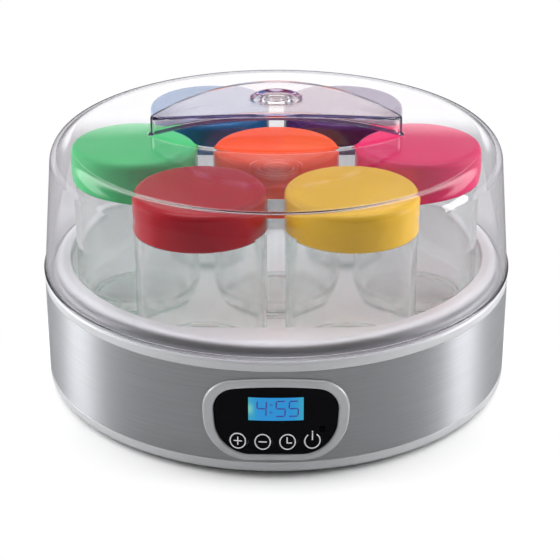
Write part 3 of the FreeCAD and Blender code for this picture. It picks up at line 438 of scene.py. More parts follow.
class Finishes:
    """Every finish of the part, by use."""

    SATIN = SilverPaint("satin silver", tint(212, 213, 216), 0.42, metallic=0.25, coat=0.1)
    # The shoulder's pale top and darker roundover are painted light and shade, made by its metal share falling
    # with height.
    GLOSS = SilverPaint("gloss silver", tint(232, 233, 235), 0.34, metallic=0.97, coat=0.0,
                        pale=(65.5, 68.2, 0.12))
    STEEL = BrushedSteel("brushed steel", tint(204, 206, 210), 0.5)
    TRAY = Moulding("coated tray", tint(242, 244, 245), 0.45, mottle=0.02, grain=1500.0, specular=0.3)
    BEZEL = SilverPaint("bezel silver", tint(200, 202, 205), 0.36, metallic=0.35, coat=0.15)
    PANEL = Moulding("panel gloss", tint(10, 9, 12), 0.09, mottle=0.02, grain=900.0, grain_strength=0.01,
                     specular=0.1)
    BUTTON = Moulding("button gloss", tint(9, 8, 11), 0.14, mottle=0.02, grain=1400.0, grain_strength=0.02,
                      specular=0.1)
    INK = Moulding("white print", tint(226, 226, 230), 0.5, mottle=0.02, grain=4000.0)
    DIGITS = Moulding("display digits", tint(66, 66, 168), 0.3, mottle=0.02, grain=3000.0)
    LENS = Moulding("indicator lens", tint(2, 2, 3), 0.2, mottle=0.02, specular=0.05)
    RUBBER = Moulding("foot rubber", tint(46, 46, 48), 0.75, mottle=0.08, grain=1700.0, grain_strength=0.35)
    GLAND = Moulding("gland rubber", tint(120, 122, 126), 0.6, mottle=0.05, grain=1700.0)
    SCREW = SilverPaint("zinc screw", tint(190, 190, 186), 0.3, metallic=1.0, coat=0.0)
    COVER = SeeThrough("clear cover", 1.47, (0.2, 0.05, 0.42, 1.0), 16.0, 0.004)
    # Painted violet tint on the grip's top edge rounding: it stands in for the violet light bent and mirrored at
    # that edge.
    COVER_PAINTED_EDGE = replace(COVER, name="clear cover edge", face=(0.55, 0.48, 0.85, 1.0))
    GLASS = SeeThrough("jar glass", 1.5, (0.3, 0.66, 0.55, 1.0), 8.0, 0.05, roughness=0.09)
    DISPLAY = Backlight("display backlight", tint(38, 138, 202), tint(56, 160, 182), tint(128, 204, 176),
                        half_width=12.9, half_height=6.0, level=36.9)


class CapColour(Enum):
    """Colour of the cap on each seat."""

    RIGHT = ("right", tint(222, 32, 98))
    REAR_RIGHT = ("rear_right", tint(74, 22, 92))
    REAR_LEFT = ("rear_left", tint(16, 88, 142))
    LEFT = ("left", tint(72, 190, 116))
    FRONT_LEFT = ("front_left", tint(164, 22, 36))
    FRONT_RIGHT = ("front_right", tint(224, 178, 54))
    MIDDLE = ("middle", tint(232, 74, 26))

    @property
    def seat(self) -> str:
        """Name of the seat."""
        return self.value[0]

    @property
    def finish(self) -> Moulding:
        """Smooth plastic in this colour."""
        return Moulding("cap " + self.seat, self.value[1], 0.24, mottle=0.035, grain=2200.0,
                        grain_strength=0.06, specular=0.4)


# Outlines and meshes

def rounded(corners: Sequence[tuple[float, ...]], closed: bool = False, steps: int = 8,
            guard: float = 0.15) -> list[Plane]:
    """Rounds the corners of a path.

    Args:
        corners: points as x, y and, where the corner is rounded, its radius.
        closed: whether the last corner leads back to the first.
        steps: pieces of each rounding.
        guard: distance of the extra points that keep long sides flat in shading.

    Returns:
        The points of the rounded path.
    """
    path: list[Plane] = []
    count = len(corners)
    for index, corner in enumerate(corners):
        here = Vector(corner[:2])
        radius = corner[2] if len(corner) > 2 else 0.0
        if radius <= 0 or (not closed and index in (0, count - 1)):
            path.append(tuple(here))
            continue
        back = Vector(corners[index - 1][:2]) - here
        onward = Vector(corners[(index + 1) % count][:2]) - here
        half = back.angle(onward) / 2
        reach = radius / math.tan(half)
        back_way, onward_way = back.normalized(), onward.normalized()
        centre = here + (back_way + onward_way).normalized() * (radius / math.sin(half))
        start, end = here + back_way * reach - centre, here + onward_way * reach - centre
        swing = start.angle_signed(end)
        if back.length > reach + 2 * guard:
            path.append(tuple(here + back_way * (reach + guard)))
        path += [tuple(centre + Matrix.Rotation(-swing * step / steps, 2) @ start) for step in range(steps + 1)]
        if onward.length > reach + 2 * guard:
            path.append(tuple(here + onward_way * (reach + guard)))
    return path


def circle(radius: float, height: float, count: int, centre: Plane = (0.0, 0.0)) -> list[Spot]:
    """A level ring of points; the first one lies at the rear."""
    return [(centre[0] - radius * math.sin(FULL_TURN * step / count),
             centre[1] + radius * math.cos(FULL_TURN * step / count), height) for step in range(count)]


def disc(radius: float, centre: Plane = (0.0, 0.0), count: int = 48) -> list[Plane]:
    """A closed round outline; the first point lies at the rear."""
    return [(x, y) for x, y, _ in circle(radius, 0.0, count, centre)]


def arc(middle: Plane | Vector, radius: float, start: float, end: float, steps: int) -> list[Plane]:
    """Points of an arc between two angles, both ends included."""
    leans = [start + (end - start) * step / steps for step in range(steps + 1)]
    return [(middle[0] + radius * math.cos(lean), middle[1] + radius * math.sin(lean)) for lean in leans]


def bar(start: Plane, end: Plane, width: float, steps: int = 4) -> list[Plane]:
    """Outline of a stroke with round ends.

    Args:
        start: middle of one round end.
        end: middle of the other.
        width: width of the stroke.
        steps: pieces of each end.

    Returns:
        The points of the outline.
    """
    lean = math.atan2(end[1] - start[1], end[0] - start[0])
    return [*arc(end, width / 2, lean - QUARTER_TURN, lean + QUARTER_TURN, steps),
            *arc(start, width / 2, lean + QUARTER_TURN, lean + 3 * QUARTER_TURN, steps)]


def strip(start: Plane, end: Plane, width: float) -> list[Plane]:
    """Outline of a stroke with square ends.

    Args:
        start: middle of one end.
        end: middle of the other.
        width: width of the stroke.

    Returns:
        The four corners.
    """
    way = (Vector(end) - Vector(start)).normalized() * (width / 2)
    return [(start[0] + way.y, start[1] - way.x), (end[0] + way.y, end[1] - way.x),
            (end[0] - way.y, end[1] + way.x), (start[0] - way.y, start[1] + way.x)]


def arc_stroke(middle: Plane, radius: float, width: float, span: Plane, steps: int) -> list[Plane]:
    """Outline of a curved stroke between two angles in degrees.

    Args:
        middle: centre of the curve.
        radius: radius of the stroke's middle line.
        width: width of the stroke.
        span: its first and last angle.
        steps: pieces along it.

    Returns:
        The points of the outline.
    """
    start, end = map(math.radians, span)
    return [*arc(middle, radius + width / 2, start, end, steps),
            *arc(middle, radius - width / 2, end, start, steps)]


def quarter_round(steps: int) -> list[Plane]:
    """What each step of a rounding gained on one side and lacks on the other, in shares of its radius."""
    leans = [QUARTER_TURN * step / steps for step in range(steps + 1)]
    return [(1 - math.cos(lean), 1 - math.sin(lean)) for lean in leans]


def fine_outline(corners: Sequence[Plane], spacing: float) -> list[Plane]:
    """Divides the sides of an outline so that it can follow a curve.

    Args:
        corners: corners of the closed outline.
        spacing: distance between points, about.

    Returns:
        The corners with the points between them.
    """
    points = []
    for start, end in zip(corners, [*corners[1:], corners[0]]):
        count = max(1, round(math.dist(start, end) / spacing))
        points += [(start[0] + (end[0] - start[0]) * step / count, start[1] + (end[1] - start[1]) * step / count)
                   for step in range(count)]
    return points


def on_round(x: float, height: float, radius: float) -> Spot:
    """A point of the front, straight ahead of x, on a cylinder about the middle."""
    return x, -math.sqrt(radius ** 2 - x ** 2), height


class Skin:
    """Collects rings of points, in millimetres, into one closed mesh."""

    def __init__(self) -> None:
        """Starts empty, with one map for finishes that follow the surface."""
        self.form = bmesh.new()
        self.map = self.form.loops.layers.uv.new("run")

    def ring(self, spots: Iterable[Spot]) -> Ring:
        """Adds a ring of points."""
        return [self.form.verts.new(Vector(spot) * MM) for spot in spots]

    def face(self, corners: Sequence[bmesh.types.BMVert], slot: int = 0,
             runs: Sequence[Plane] | None = None) -> None:
        """Adds one face, with its places in the map.

        Args:
            corners: corners in order.
            slot: material slot.
            runs: places of the corners in the map.
        """
        made = self.form.faces.new(corners)
        made.material_index = slot
        for loop, run in zip(made.loops, runs or ()):
            loop[self.map].uv = run

    def bridge(self, first: Ring, second: Ring, slot: int = 0, runs: Spot | None = None) -> None:
        """Joins two closed rings of one count, or a ring and a single point.

        Args:
            first: ring or single point to start from.
            second: ring or single point to end at.
            slot: material slot of the faces.
            runs: length round the ring, and the map's heights of both rings, in metres.
        """
        count = max(len(first), len(second))
        for step in range(count):
            after = (step + 1) % count
            corners = [first[step % len(first)], first[after % len(first)],
                       second[after % len(second)], second[step % len(second)]]
            places = None
            if runs:
                left, right = runs[0] * step / count, runs[0] * (step + 1) / count
                places = [(left, runs[1]), (right, runs[1]), (right, runs[2]), (left, runs[2])]
            if len(first) == 1:
                corners.pop(1)
            elif len(second) == 1:
                corners.pop(2)
            self.face(corners, slot, places if len(corners) == 4 else None)

    def loft(self, rings: Sequence[Ring], slot: int = 0) -> None:
        """Joins rings one after the other."""
        for first, second in zip(rings, rings[1:]):
            self.bridge(first, second, slot)

    def turn(self, profile: Sequence[Plane], count: int = 160, centre: Plane = (0.0, 0.0),
             slot: int = 0, ring_closed: bool = False) -> list[Ring]:
        """Turns a profile of radius and height about an upright axis.

        Args:
            profile: points of radius and height.
            count: points in each ring.
            centre: place of the axis.
            slot: material slot of the faces.
            ring_closed: whether the profile closes on itself.

        Returns:
            The rings made, one for each point of the profile.
        """
        rings = [self.ring([(*centre, height)] if radius < ON_AXIS else circle(radius, height, count, centre))
                 for radius, height in profile]
        length = FULL_TURN * max(radius for radius, _ in profile) * MM
        run = 0.0
        for here in range(len(rings) if ring_closed else len(rings) - 1):
            there = (here + 1) % len(rings)
            step = math.dist(profile[here], profile[there]) * MM
            self.bridge(rings[here], rings[there], slot, (length, run, run + step))
            run += step
        return rings

    def plate(self, outline: Sequence[Plane], holes: Sequence[Sequence[Plane]], spacing: float,
              put: Callable[[float, float, float], Spot], front: float, back: float) -> None:
        """A plate with holes, its two sides and all its edges.

        Args:
            outline: outer edge in the plate's own plane.
            holes: edges of the holes.
            spacing: distance between the points that carry the plate's curve.
            put: places a point of the plane at a depth.
            front: depth of the front.
            back: depth of the back.
        """
        loops = [list(outline), *map(list, holes)]
        flat = [point for loop in loops for point in loop]
        rims, start = [], 0
        for loop in loops:
            rims.append([start + step for step in range(len(loop))])
            start += len(loop)
        flat += inner_points(outline, holes, spacing)
        edges = [(rim[step - 1], rim[step]) for rim in rims for step in range(len(rim))]
        spots, _, faces, _, _, _ = delaunay_2d_cdt([Vector(point) for point in flat], edges, [], 0, 1e-5)
        sides = [self.ring(put(spot.x, spot.y, depth) for spot in spots) for depth in (front, back)]
        for face in faces:
            middle = sum((spots[corner] for corner in face), Vector((0.0, 0.0))) / len(face)
            if inside(middle, outline) and not any(inside(middle, hole) for hole in holes):
                self.face([sides[0][corner] for corner in face])
                self.face([sides[1][corner] for corner in reversed(face)])
        for rim in rims:
            self.bridge([sides[0][corner] for corner in rim], [sides[1][corner] for corner in rim])

    def piece(self, name: str, finishes: Finish | Sequence[Finish], sharp: float = 35.0) -> bpy.types.Object:
        """Closes the work and hands it over as an object.

        Args:
            name: name of the piece.
            finishes: finish of each material slot.
            sharp: edges that turn by more than this many degrees stay crisp.

        Returns:
            The object, with its place in its mesh.
        """
        bmesh.ops.recalc_face_normals(self.form, faces=self.form.faces)
        mesh = bpy.data.meshes.new(name)
        crease(self.form, sharp)
        self.form.to_mesh(mesh)
        self.form.free()
        made = bpy.data.objects.new(name, mesh)
        bpy.context.scene.collection.objects.link(made)
        for finish in finishes if isinstance(finishes, (list, tuple)) else [finishes]:
            mesh.materials.append(finish.material())
        return made


def crease(form: bmesh.types.BMesh, sharp: float) -> None:
    """Shades a mesh smooth except at edges that turn by more than some degrees.

    Args:
        form: the mesh.
        sharp: the degrees.
    """
    limit = math.radians(sharp)
    for face in form.faces:
        face.smooth = True
    for edge in form.edges:
        edge.smooth = edge.calc_face_angle(0.0) < limit


def inside(point: Vector | Plane, outline: Sequence[Plane]) -> bool:
    """Whether a point lies within a closed outline.

    Args:
        point: the point.
        outline: corners of the outline.

    Returns:
        True within it.
    """
    found = False
    for (x0, y0), (x1, y1) in zip(outline, [*outline[1:], outline[0]]):
        if (y0 > point[1]) != (y1 > point[1]) and point[0] < x0 + (point[1] - y0) * (x1 - x0) / (y1 - y0):
            found = not found
    return found


def inner_points(outline: Sequence[Plane], holes: Sequence[Sequence[Plane]], spacing: float) -> list[Plane]:
    """A grid of points within an outline, clear of all edges.

    Args:
        outline: outer edge.
        holes: edges of the holes.
        spacing: pitch of the grid.

    Returns:
        The points of the grid.
    """
    xs, ys = [x for x, _ in outline], [y for _, y in outline]
    clear = (spacing / 2) ** 2
    edges = [point for loop in (outline, *holes) for point in loop]
    found = []
    for row in range(1, int((max(ys) - min(ys)) / spacing) + 1):
        for column in range(1, int((max(xs) - min(xs)) / spacing) + 1):
            point = (min(xs) + column * spacing, min(ys) + row * spacing)
            if (inside(point, outline) and not any(inside(point, hole) for hole in holes)
                    and all((point[0] - x) ** 2 + (point[1] - y) ** 2 > clear for x, y in edges)):
                found.append(point)
    return found


def settle(piece: bpy.types.Object, body: str, slot: str, *nodes: str) -> bpy.types.Object:
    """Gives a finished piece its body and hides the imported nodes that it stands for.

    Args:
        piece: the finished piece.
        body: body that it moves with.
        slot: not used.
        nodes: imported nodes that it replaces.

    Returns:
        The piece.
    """
    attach(piece, body)
    if nodes:
        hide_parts(*nodes)
    LOG.info("%s: %d faces on %s", piece.name, len(piece.data.polygons), body)
    return piece


class CopyRing:
    """Geometry nodes that repeat a mesh evenly about the upright axis."""

    def __init__(self) -> None:
        """Builds the tree with its named inputs."""
        self.tree = bpy.data.node_groups.new("copy ring", "GeometryNodeTree")
        bench = Bench(self.tree)
        face = self.tree.interface
        self.sockets = {
            name: face.new_socket(name=name, in_out="INPUT", socket_type=kind).identifier
            for name, kind in (("Geometry", "NodeSocketGeometry"), ("Count", "NodeSocketInt"),
                               ("Finish", "NodeSocketMaterial"))}
        face.new_socket(name="Geometry", in_out="OUTPUT", socket_type="NodeSocketGeometry")
        given = self.tree.nodes.new("NodeGroupInput")
        geometry, count, finish = (Wire(bench, given.outputs[name]) for name in self.sockets)
        points = bench.node("GeometryNodePoints", sockets={"Count": count})
        angle = bench.node("GeometryNodeInputIndex") * FULL_TURN / count
        euler = bench.node("ShaderNodeCombineXYZ", sockets={"Z": angle})
        turned = bench.node("FunctionNodeEulerToRotation", sockets={0: euler})
        single = bench.node("GeometryNodeGeometryToInstance", sockets={0: geometry})
        copies = bench.node("GeometryNodeInstanceOnPoints",
                            sockets={"Points": points, "Instance": single, "Rotation": turned})
        real = bench.node("GeometryNodeRealizeInstances", sockets={0: copies})
        dressed = bench.node("GeometryNodeSetMaterial", sockets={"Geometry": real, "Material": finish})
        bench.node("NodeGroupOutput", sockets={0: dressed})

    def repeat(self, single: bpy.types.Object, count: int, finish: Finish) -> bpy.types.Object:
        """Replaces an object's mesh by a ring of copies of it.

        Args:
            single: the object with the first copy, in its place.
            count: number of copies.
            finish: finish of the copies.

        Returns:
            The same object, with a plain mesh.
        """
        modifier = single.modifiers.new("copies", "NODES")
        modifier.node_group = self.tree
        modifier[self.sockets["Count"]] = count
        modifier[self.sockets["Finish"]] = finish.material()
        bpy.context.view_layer.update()
        ready = single.evaluated_get(bpy.context.evaluated_depsgraph_get())
        mesh = bpy.data.meshes.new_from_object(ready)
        single.modifiers.remove(modifier)
        single.data = mesh
        return single


# Base

@dataclass
class FlatFront:
    """A circle with a flat front side and blended corners, seen from above."""

    radius: float
    front: float
    blend: float

    def grown(self, margin: float) -> "FlatFront":
        """The same outline moved outwards."""
        return FlatFront(self.radius + margin, self.front + margin, self.blend + margin)

    def reach(self, angle: float) -> float:
        """Distance from the middle to the outline.

        Args:
            angle: direction, counter-clockwise from the rear.

        Returns:
            The distance.
        """
        across, depth = abs(math.sin(angle)), -math.cos(angle)
        middle = math.sqrt((self.radius - self.blend) ** 2 - (self.front - self.blend) ** 2)
        start = math.atan2(middle, self.front)
        end = math.atan2(middle, self.front - self.blend)
        lean = math.atan2(across, depth)
        if lean <= start:
            return self.front / depth
        if lean >= end:
            return self.radius
        along = across * middle + depth * (self.front - self.blend)
        spare = middle ** 2 + (self.front - self.blend) ** 2 - self.blend ** 2
        return along + math.sqrt(along ** 2 - spare)

    def ring(self, height: float, count: int) -> list[Spot]:
        """Points of the outline at one height, matching those of a circle.

        Args:
            height: the height.
            count: number of points.

        Returns:
            The points, from the rear.
        """
        spots = []
        for step in range(count):
            angle = FULL_TURN * step / count
            reach = self.reach(angle)
            spots.append((-reach * math.sin(angle), reach * math.cos(angle), height))
        return spots


@dataclass
class Base:
    """Feet, lower housing, band, upper housing, tray, screws and gland."""

    foot_radius: float = 7.0
    foot_height: float = 2.0
    foot_circle: float = 98.0
    foot_count: int = 4
    sole_steps: tuple[float, ...] = (0.0, 2.0, 2.3, 3.6, 3.9, 5.0, 5.3)
    sole_groove: float = 0.45
    outside: float = 120.0
    ring_edge: float = 3.0
    band_wall: float = 0.8
    band_low: float = 8.0
    band_high: float = 56.0
    band_edge: float = 0.25
    wall_outside: float = 118.9
    wall_inside: float = 116.4
    floor_high: float = 4.5
    vent_count: int = 16
    vent_inner: float = 36.0
    vent_outer: float = 50.0
    vent_width: float = 2.6
    vent_steps: int = 5
    screw_circle: float = 109.8
    screw_bore: float = 3.1
    screw_head: float = 2.8
    screw_high: float = 3.8
    screw_count: int = 4
    cross_arm: float = 1.5
    cross_waist: float = 0.36
    cross_depth: float = 0.9
    rim_high: float = 61.0
    rim_edge: float = 1.4
    shoulder: float = 115.5
    shoulder_high: float = 68.3
    shoulder_edge: float = 6.0
    plate_low: float = 65.8
    skirt: tuple[float, float, float] = (113.0, 116.1, 53.0)
    opening: FlatFront = field(default_factory=lambda: FlatFront(106.0, 96.35, 30.0))
    opening_edge: float = 0.8
    tray_floor: float = 38.0
    tray_under: float = 36.7
    tray_ledge: float = 0.8
    tray_wall: float = 1.3
    tray_heel: float = 3.0
    tray_ring: float = 60.0
    gland_level: float = 18.0
    gland_bore: float = 3.3
    gland_neck: float = 5.4
    gland_flange: float = 8.0
    gland_rear: float = 113.0
    gland_seat: float = 120.3
    gland_face: float = 121.6
    gland_groove: tuple[float, float, float, float] = (4.6, 4.9, 5.6, 5.9)
    gland_groove_depth: float = 0.6
    count: int = 240

    def build(self, copies: CopyRing) -> None:
        """Makes every piece of the base.

        Args:
            copies: the tree that repeats feet and screws.
        """
        self._feet(copies)
        self._lower_housing()
        self._band()
        self._upper_housing()
        self._tray()
        self._screws(copies)
        self._gland()

    def _feet(self, copies: CopyRing) -> None:
        """Rubber feet with a ribbed sole.

        Args:
            copies: the tree that repeats them.
        """
        skin = Skin()
        sole = [(radius, 0.0 if step % 4 > 1 else self.sole_groove) for step, radius in enumerate(self.sole_steps)]
        profile = rounded([*sole, (self.foot_radius, 0.0, 0.5), (self.foot_radius - 0.3, self.foot_height),
                           (0.0, self.foot_height)], steps=5)
        skin.turn(profile, 48, (self.foot_circle, 0.0))
        feet = copies.repeat(skin.piece("rubber_feet_soles", Finishes.RUBBER), self.foot_count, Finishes.RUBBER)
        settle(feet, "base", "rubber", "rubber_feet")

    def _vent(self, angle: float) -> list[Plane]:
        """Outline of one vent with round ends.

        Args:
            angle: direction of the vent.

        Returns:
            The points of the outline.
        """
        half = self.vent_width / 2
        ends = [(reach * math.cos(angle), reach * math.sin(angle))
                for reach in (self.vent_inner + half, self.vent_outer - half)]
        return bar(*ends, self.vent_width, self.vent_steps)

    def _lower_housing(self) -> None:
        """The tub: vented floor, foot ring and the wall behind the band."""
        skin = Skin()
        floor_edge = self.outside - self.ring_edge - 1.0
        holes = [self._vent(FULL_TURN * step / self.vent_count) for step in range(self.vent_count)]
        for step in range(self.screw_count):
            angle = FULL_TURN * (step + 0.5) / self.screw_count
            middle = (self.screw_circle * math.cos(angle), self.screw_circle * math.sin(angle))
            holes.append(disc(self.screw_bore, middle, 24))
        rim = disc(floor_edge, count=self.count)
        skin.plate(rim, holes, 9.0, lambda x, y, depth: (x, y, depth), self.foot_height, self.floor_high)
        profile = rounded([(floor_edge - 1.0, self.foot_height), (self.outside, self.foot_height, self.ring_edge),
                           (self.outside, self.band_low, 0.3), (self.wall_outside, self.band_low),
                           (self.wall_outside, self.band_high), (self.wall_inside, self.band_high),
                           (self.wall_inside, self.floor_high), (floor_edge - 1.0, self.floor_high)], True)
        skin.turn(profile, self.count, ring_closed=True)
        settle(skin.piece("lower_housing_tub", Finishes.SATIN), "base", "housing_grey", "lower_housing",
               "wall_ring")

    def _band(self) -> None:
        """The brushed band, with its thin edges eased."""
        skin = Skin()
        inner = self.outside - self.band_wall
        profile = rounded([(self.outside, self.band_low, self.band_edge),
                           (self.outside, self.band_high, self.band_edge),
                           (inner, self.band_high), (inner, self.band_low)], True, 4)
        skin.turn(profile, 2 * self.count, ring_closed=True)
        settle(skin.piece("steel_band_sheet", Finishes.STEEL), "base", "steel", "steel_band")

    def _upper_housing(self) -> None:
        """Satin rim and gloss shoulder in one moulding, open over the tray."""
        skin = Skin()
        skirt_in, skirt_out, skirt_low = self.skirt
        below = [(skirt_in, self.plate_low), (skirt_in, skirt_low), (skirt_out, skirt_low),
                 (skirt_out, self.band_high)]
        rim = rounded([(skirt_out, self.band_high), (self.outside, self.band_high, 0.4),
                       (self.outside, self.rim_high, self.rim_edge), (self.shoulder, self.rim_high, 0.4),
                       (self.shoulder, self.rim_high + 0.6)])
        rise = rounded([(self.shoulder, self.rim_high + 0.6),
                        (self.shoulder, self.shoulder_high, self.shoulder_edge),
                        (self.shoulder - 2 * self.shoulder_edge, self.shoulder_high)], steps=14)
        inmost = self.outside - self.rim_edge - 0.2
        edge_end = max(step for step, (radius, _) in enumerate(rim) if radius > inmost)
        low = skin.turn(below, self.count)
        outer = skin.turn(rim[1:edge_end + 1], self.count)
        skin.bridge(low[-1], outer[0])
        middle = skin.turn(rim[edge_end + 1:], self.count, slot=1)
        skin.bridge(outer[-1], middle[0], 1)
        high = skin.turn(rise[1:-1], self.count, slot=1)
        skin.bridge(middle[-1], high[0], 1)
        edge = self.opening_edge
        rings = [high[-1], skin.ring(self.opening.grown(edge + 0.4).ring(self.shoulder_high, self.count))]
        for gained, lacking in quarter_round(5):
            line = self.opening.grown(edge * lacking)
            rings.append(skin.ring(line.ring(self.shoulder_high - edge * gained, self.count)))
        rings.append(skin.ring(self.opening.ring(self.plate_low, self.count)))
        skin.loft(rings, 1)
        skin.bridge(rings[-1], low[0], 1)
        settle(skin.piece("upper_housing_shell", [Finishes.SATIN, Finishes.GLOSS]), "base", "housing_grey",
               "upper_housing")

    def _tray(self) -> None:
        """The pan that the jars stand in, with a rolled heel."""
        skin = Skin()
        inner = self.opening.grown(-self.tray_ledge)
        outer = inner.grown(self.tray_wall)
        levels = [(outer, 0.0, self.tray_under), (outer, 0.0, self.plate_low - 0.3),
                  (outer, -0.3, self.plate_low), (inner, 0.3, self.plate_low), (inner, 0.0, self.plate_low - 0.3),
                  (inner, 0.0, self.tray_floor + self.tray_heel + 0.2)]
        levels += [(inner, -self.tray_heel * gained, self.tray_floor + self.tray_heel * lacking)
                   for gained, lacking in quarter_round(8)]
        levels.append((inner, -self.tray_heel - 0.3, self.tray_floor))
        rings = [skin.ring([(0.0, 0.0, self.tray_under)])]
        rings += [skin.ring(line.grown(margin).ring(height, self.count)) for line, margin, height in levels]
        rings.append(skin.ring(circle(self.tray_ring, self.tray_floor, self.count)))
        rings.append(skin.ring([(0.0, 0.0, self.tray_floor)]))
        skin.loft(rings)
        settle(skin.piece("heating_tray_pan", Finishes.TRAY), "base", "tray", "heating_tray")

    def _screws(self, copies: CopyRing) -> None:
        """Cross-head screws in the floor.

        Args:
            copies: the tree that repeats them.
        """
        skin = Skin()
        angle = math.pi / self.screw_count
        middle = Vector((self.screw_circle * math.cos(angle), self.screw_circle * math.sin(angle)))
        count, cross_floor = 32, self.foot_height + self.cross_depth
        rings = [circle(self.screw_head, self.screw_high, count, middle),
                 circle(self.screw_head, self.foot_height + 0.5, count, middle),
                 circle(self.screw_head - 0.5, self.foot_height + 0.1, count, middle)]
        for level, share in ((self.foot_height + 0.05, 1.0), (cross_floor, 0.45)):
            cross = []
            for step in range(count):
                lean = FULL_TURN * step / count
                waist = 1.0 if step % (count // 4) in (0, 1, count // 4 - 1) else self.cross_waist
                reach = share * self.cross_arm * waist
                cross.append((middle.x - reach * math.sin(lean), middle.y + reach * math.cos(lean), level))
            rings.append(cross)
        skin.loft([skin.ring([(*middle, self.screw_high)]), *map(skin.ring, rings),
                   skin.ring([(*middle, cross_floor)])])
        heads = copies.repeat(skin.piece("housing_screw_heads", Finishes.SCREW), self.screw_count, Finishes.SCREW)
        settle(heads, "base", "screw", "housing_screws")

    def _gland(self) -> None:
        """The bush in the rear wall, turned about the cord's way in."""
        skin = Skin()
        face, groove = self.gland_face, self.gland_face - self.gland_groove_depth
        start, low, high, end = self.gland_groove
        profile = rounded([(self.gland_bore, self.gland_rear), (self.gland_bore, face, 0.5), (start, face, 0.3),
                           (low, groove, 0.2), (high, groove, 0.2), (end, face, 0.3),
                           (self.gland_flange, face, 0.7), (self.gland_flange, self.gland_seat),
                           (self.gland_neck, self.gland_seat), (self.gland_neck, self.gland_rear)], True, 5)
        rings = [skin.ring((-x, depth, self.gland_level + z) for x, z in disc(radius, count=64))
                 for radius, depth in profile]
        skin.loft([*rings, rings[0]])
        settle(skin.piece("cord_gland_bush", Finishes.GLAND), "base", "rubber", "cord_gland")


# Control panel

@dataclass
class PanelOutline:
    """Outline of the control panel: bowed top, tapered sides, large lower corners."""

    half_width: float = 35.3
    low: float = 9.4
    high: float = 52.9
    taper: float = 2.0
    crown: float = 125.0
    top_corner: float = 16.5
    low_corner: float = 21.0
    corner_steps: int = 16
    crown_steps: int = 12

    def inset(self, side: float, below: float, above: float) -> list[Plane]:
        """The outline moved inwards, always with the same count of points.

        Args:
            side: distance at the sides.
            below: distance at the foot.
            above: distance at the top.

        Returns:
            Points, counter-clockwise seen from the front.
        """
        reach, floor, bow = self.half_width - side, self.low + below, self.crown - above
        foot = reach - self.taper
        centre = self.high - above - bow
        top = centre + math.sqrt(bow ** 2 - reach ** 2)
        way = Vector((reach - foot, top - floor)).normalized()
        inward = Vector((-way.y, way.x))
        low_round = self.low_corner - (side + below) / 2
        top_round = self.top_corner - (side + above) / 2
        low_middle = Vector((foot, floor)) + inward * low_round
        low_middle += way * ((floor + low_round - low_middle.y) / way.y)
        top_middle = Vector((foot, floor)) + inward * top_round
        offset = top_middle - Vector((0.0, centre))
        half = offset.dot(way)
        top_middle += way * (math.sqrt(half ** 2 - offset.length_squared + (bow - top_round) ** 2) - half)
        side_lean = math.atan2(-inward.y, -inward.x)
        crown_lean = math.atan2(top_middle.y - centre, top_middle.x)
        right = [*arc(low_middle, low_round, -QUARTER_TURN, side_lean, self.corner_steps),
                 *arc(top_middle, top_round, side_lean, crown_lean, self.corner_steps),
                 *arc((0.0, centre), bow, crown_lean, QUARTER_TURN, self.crown_steps)[1:]]
        return right + [(-x, z) for x, z in reversed(right[:-1])]


class Sign(Enum):
    """Sign printed on each button, by the button's name."""

    PLUS = "plus"
    MINUS = "minus"
    TIMER = "timer"
    POWER = "power"


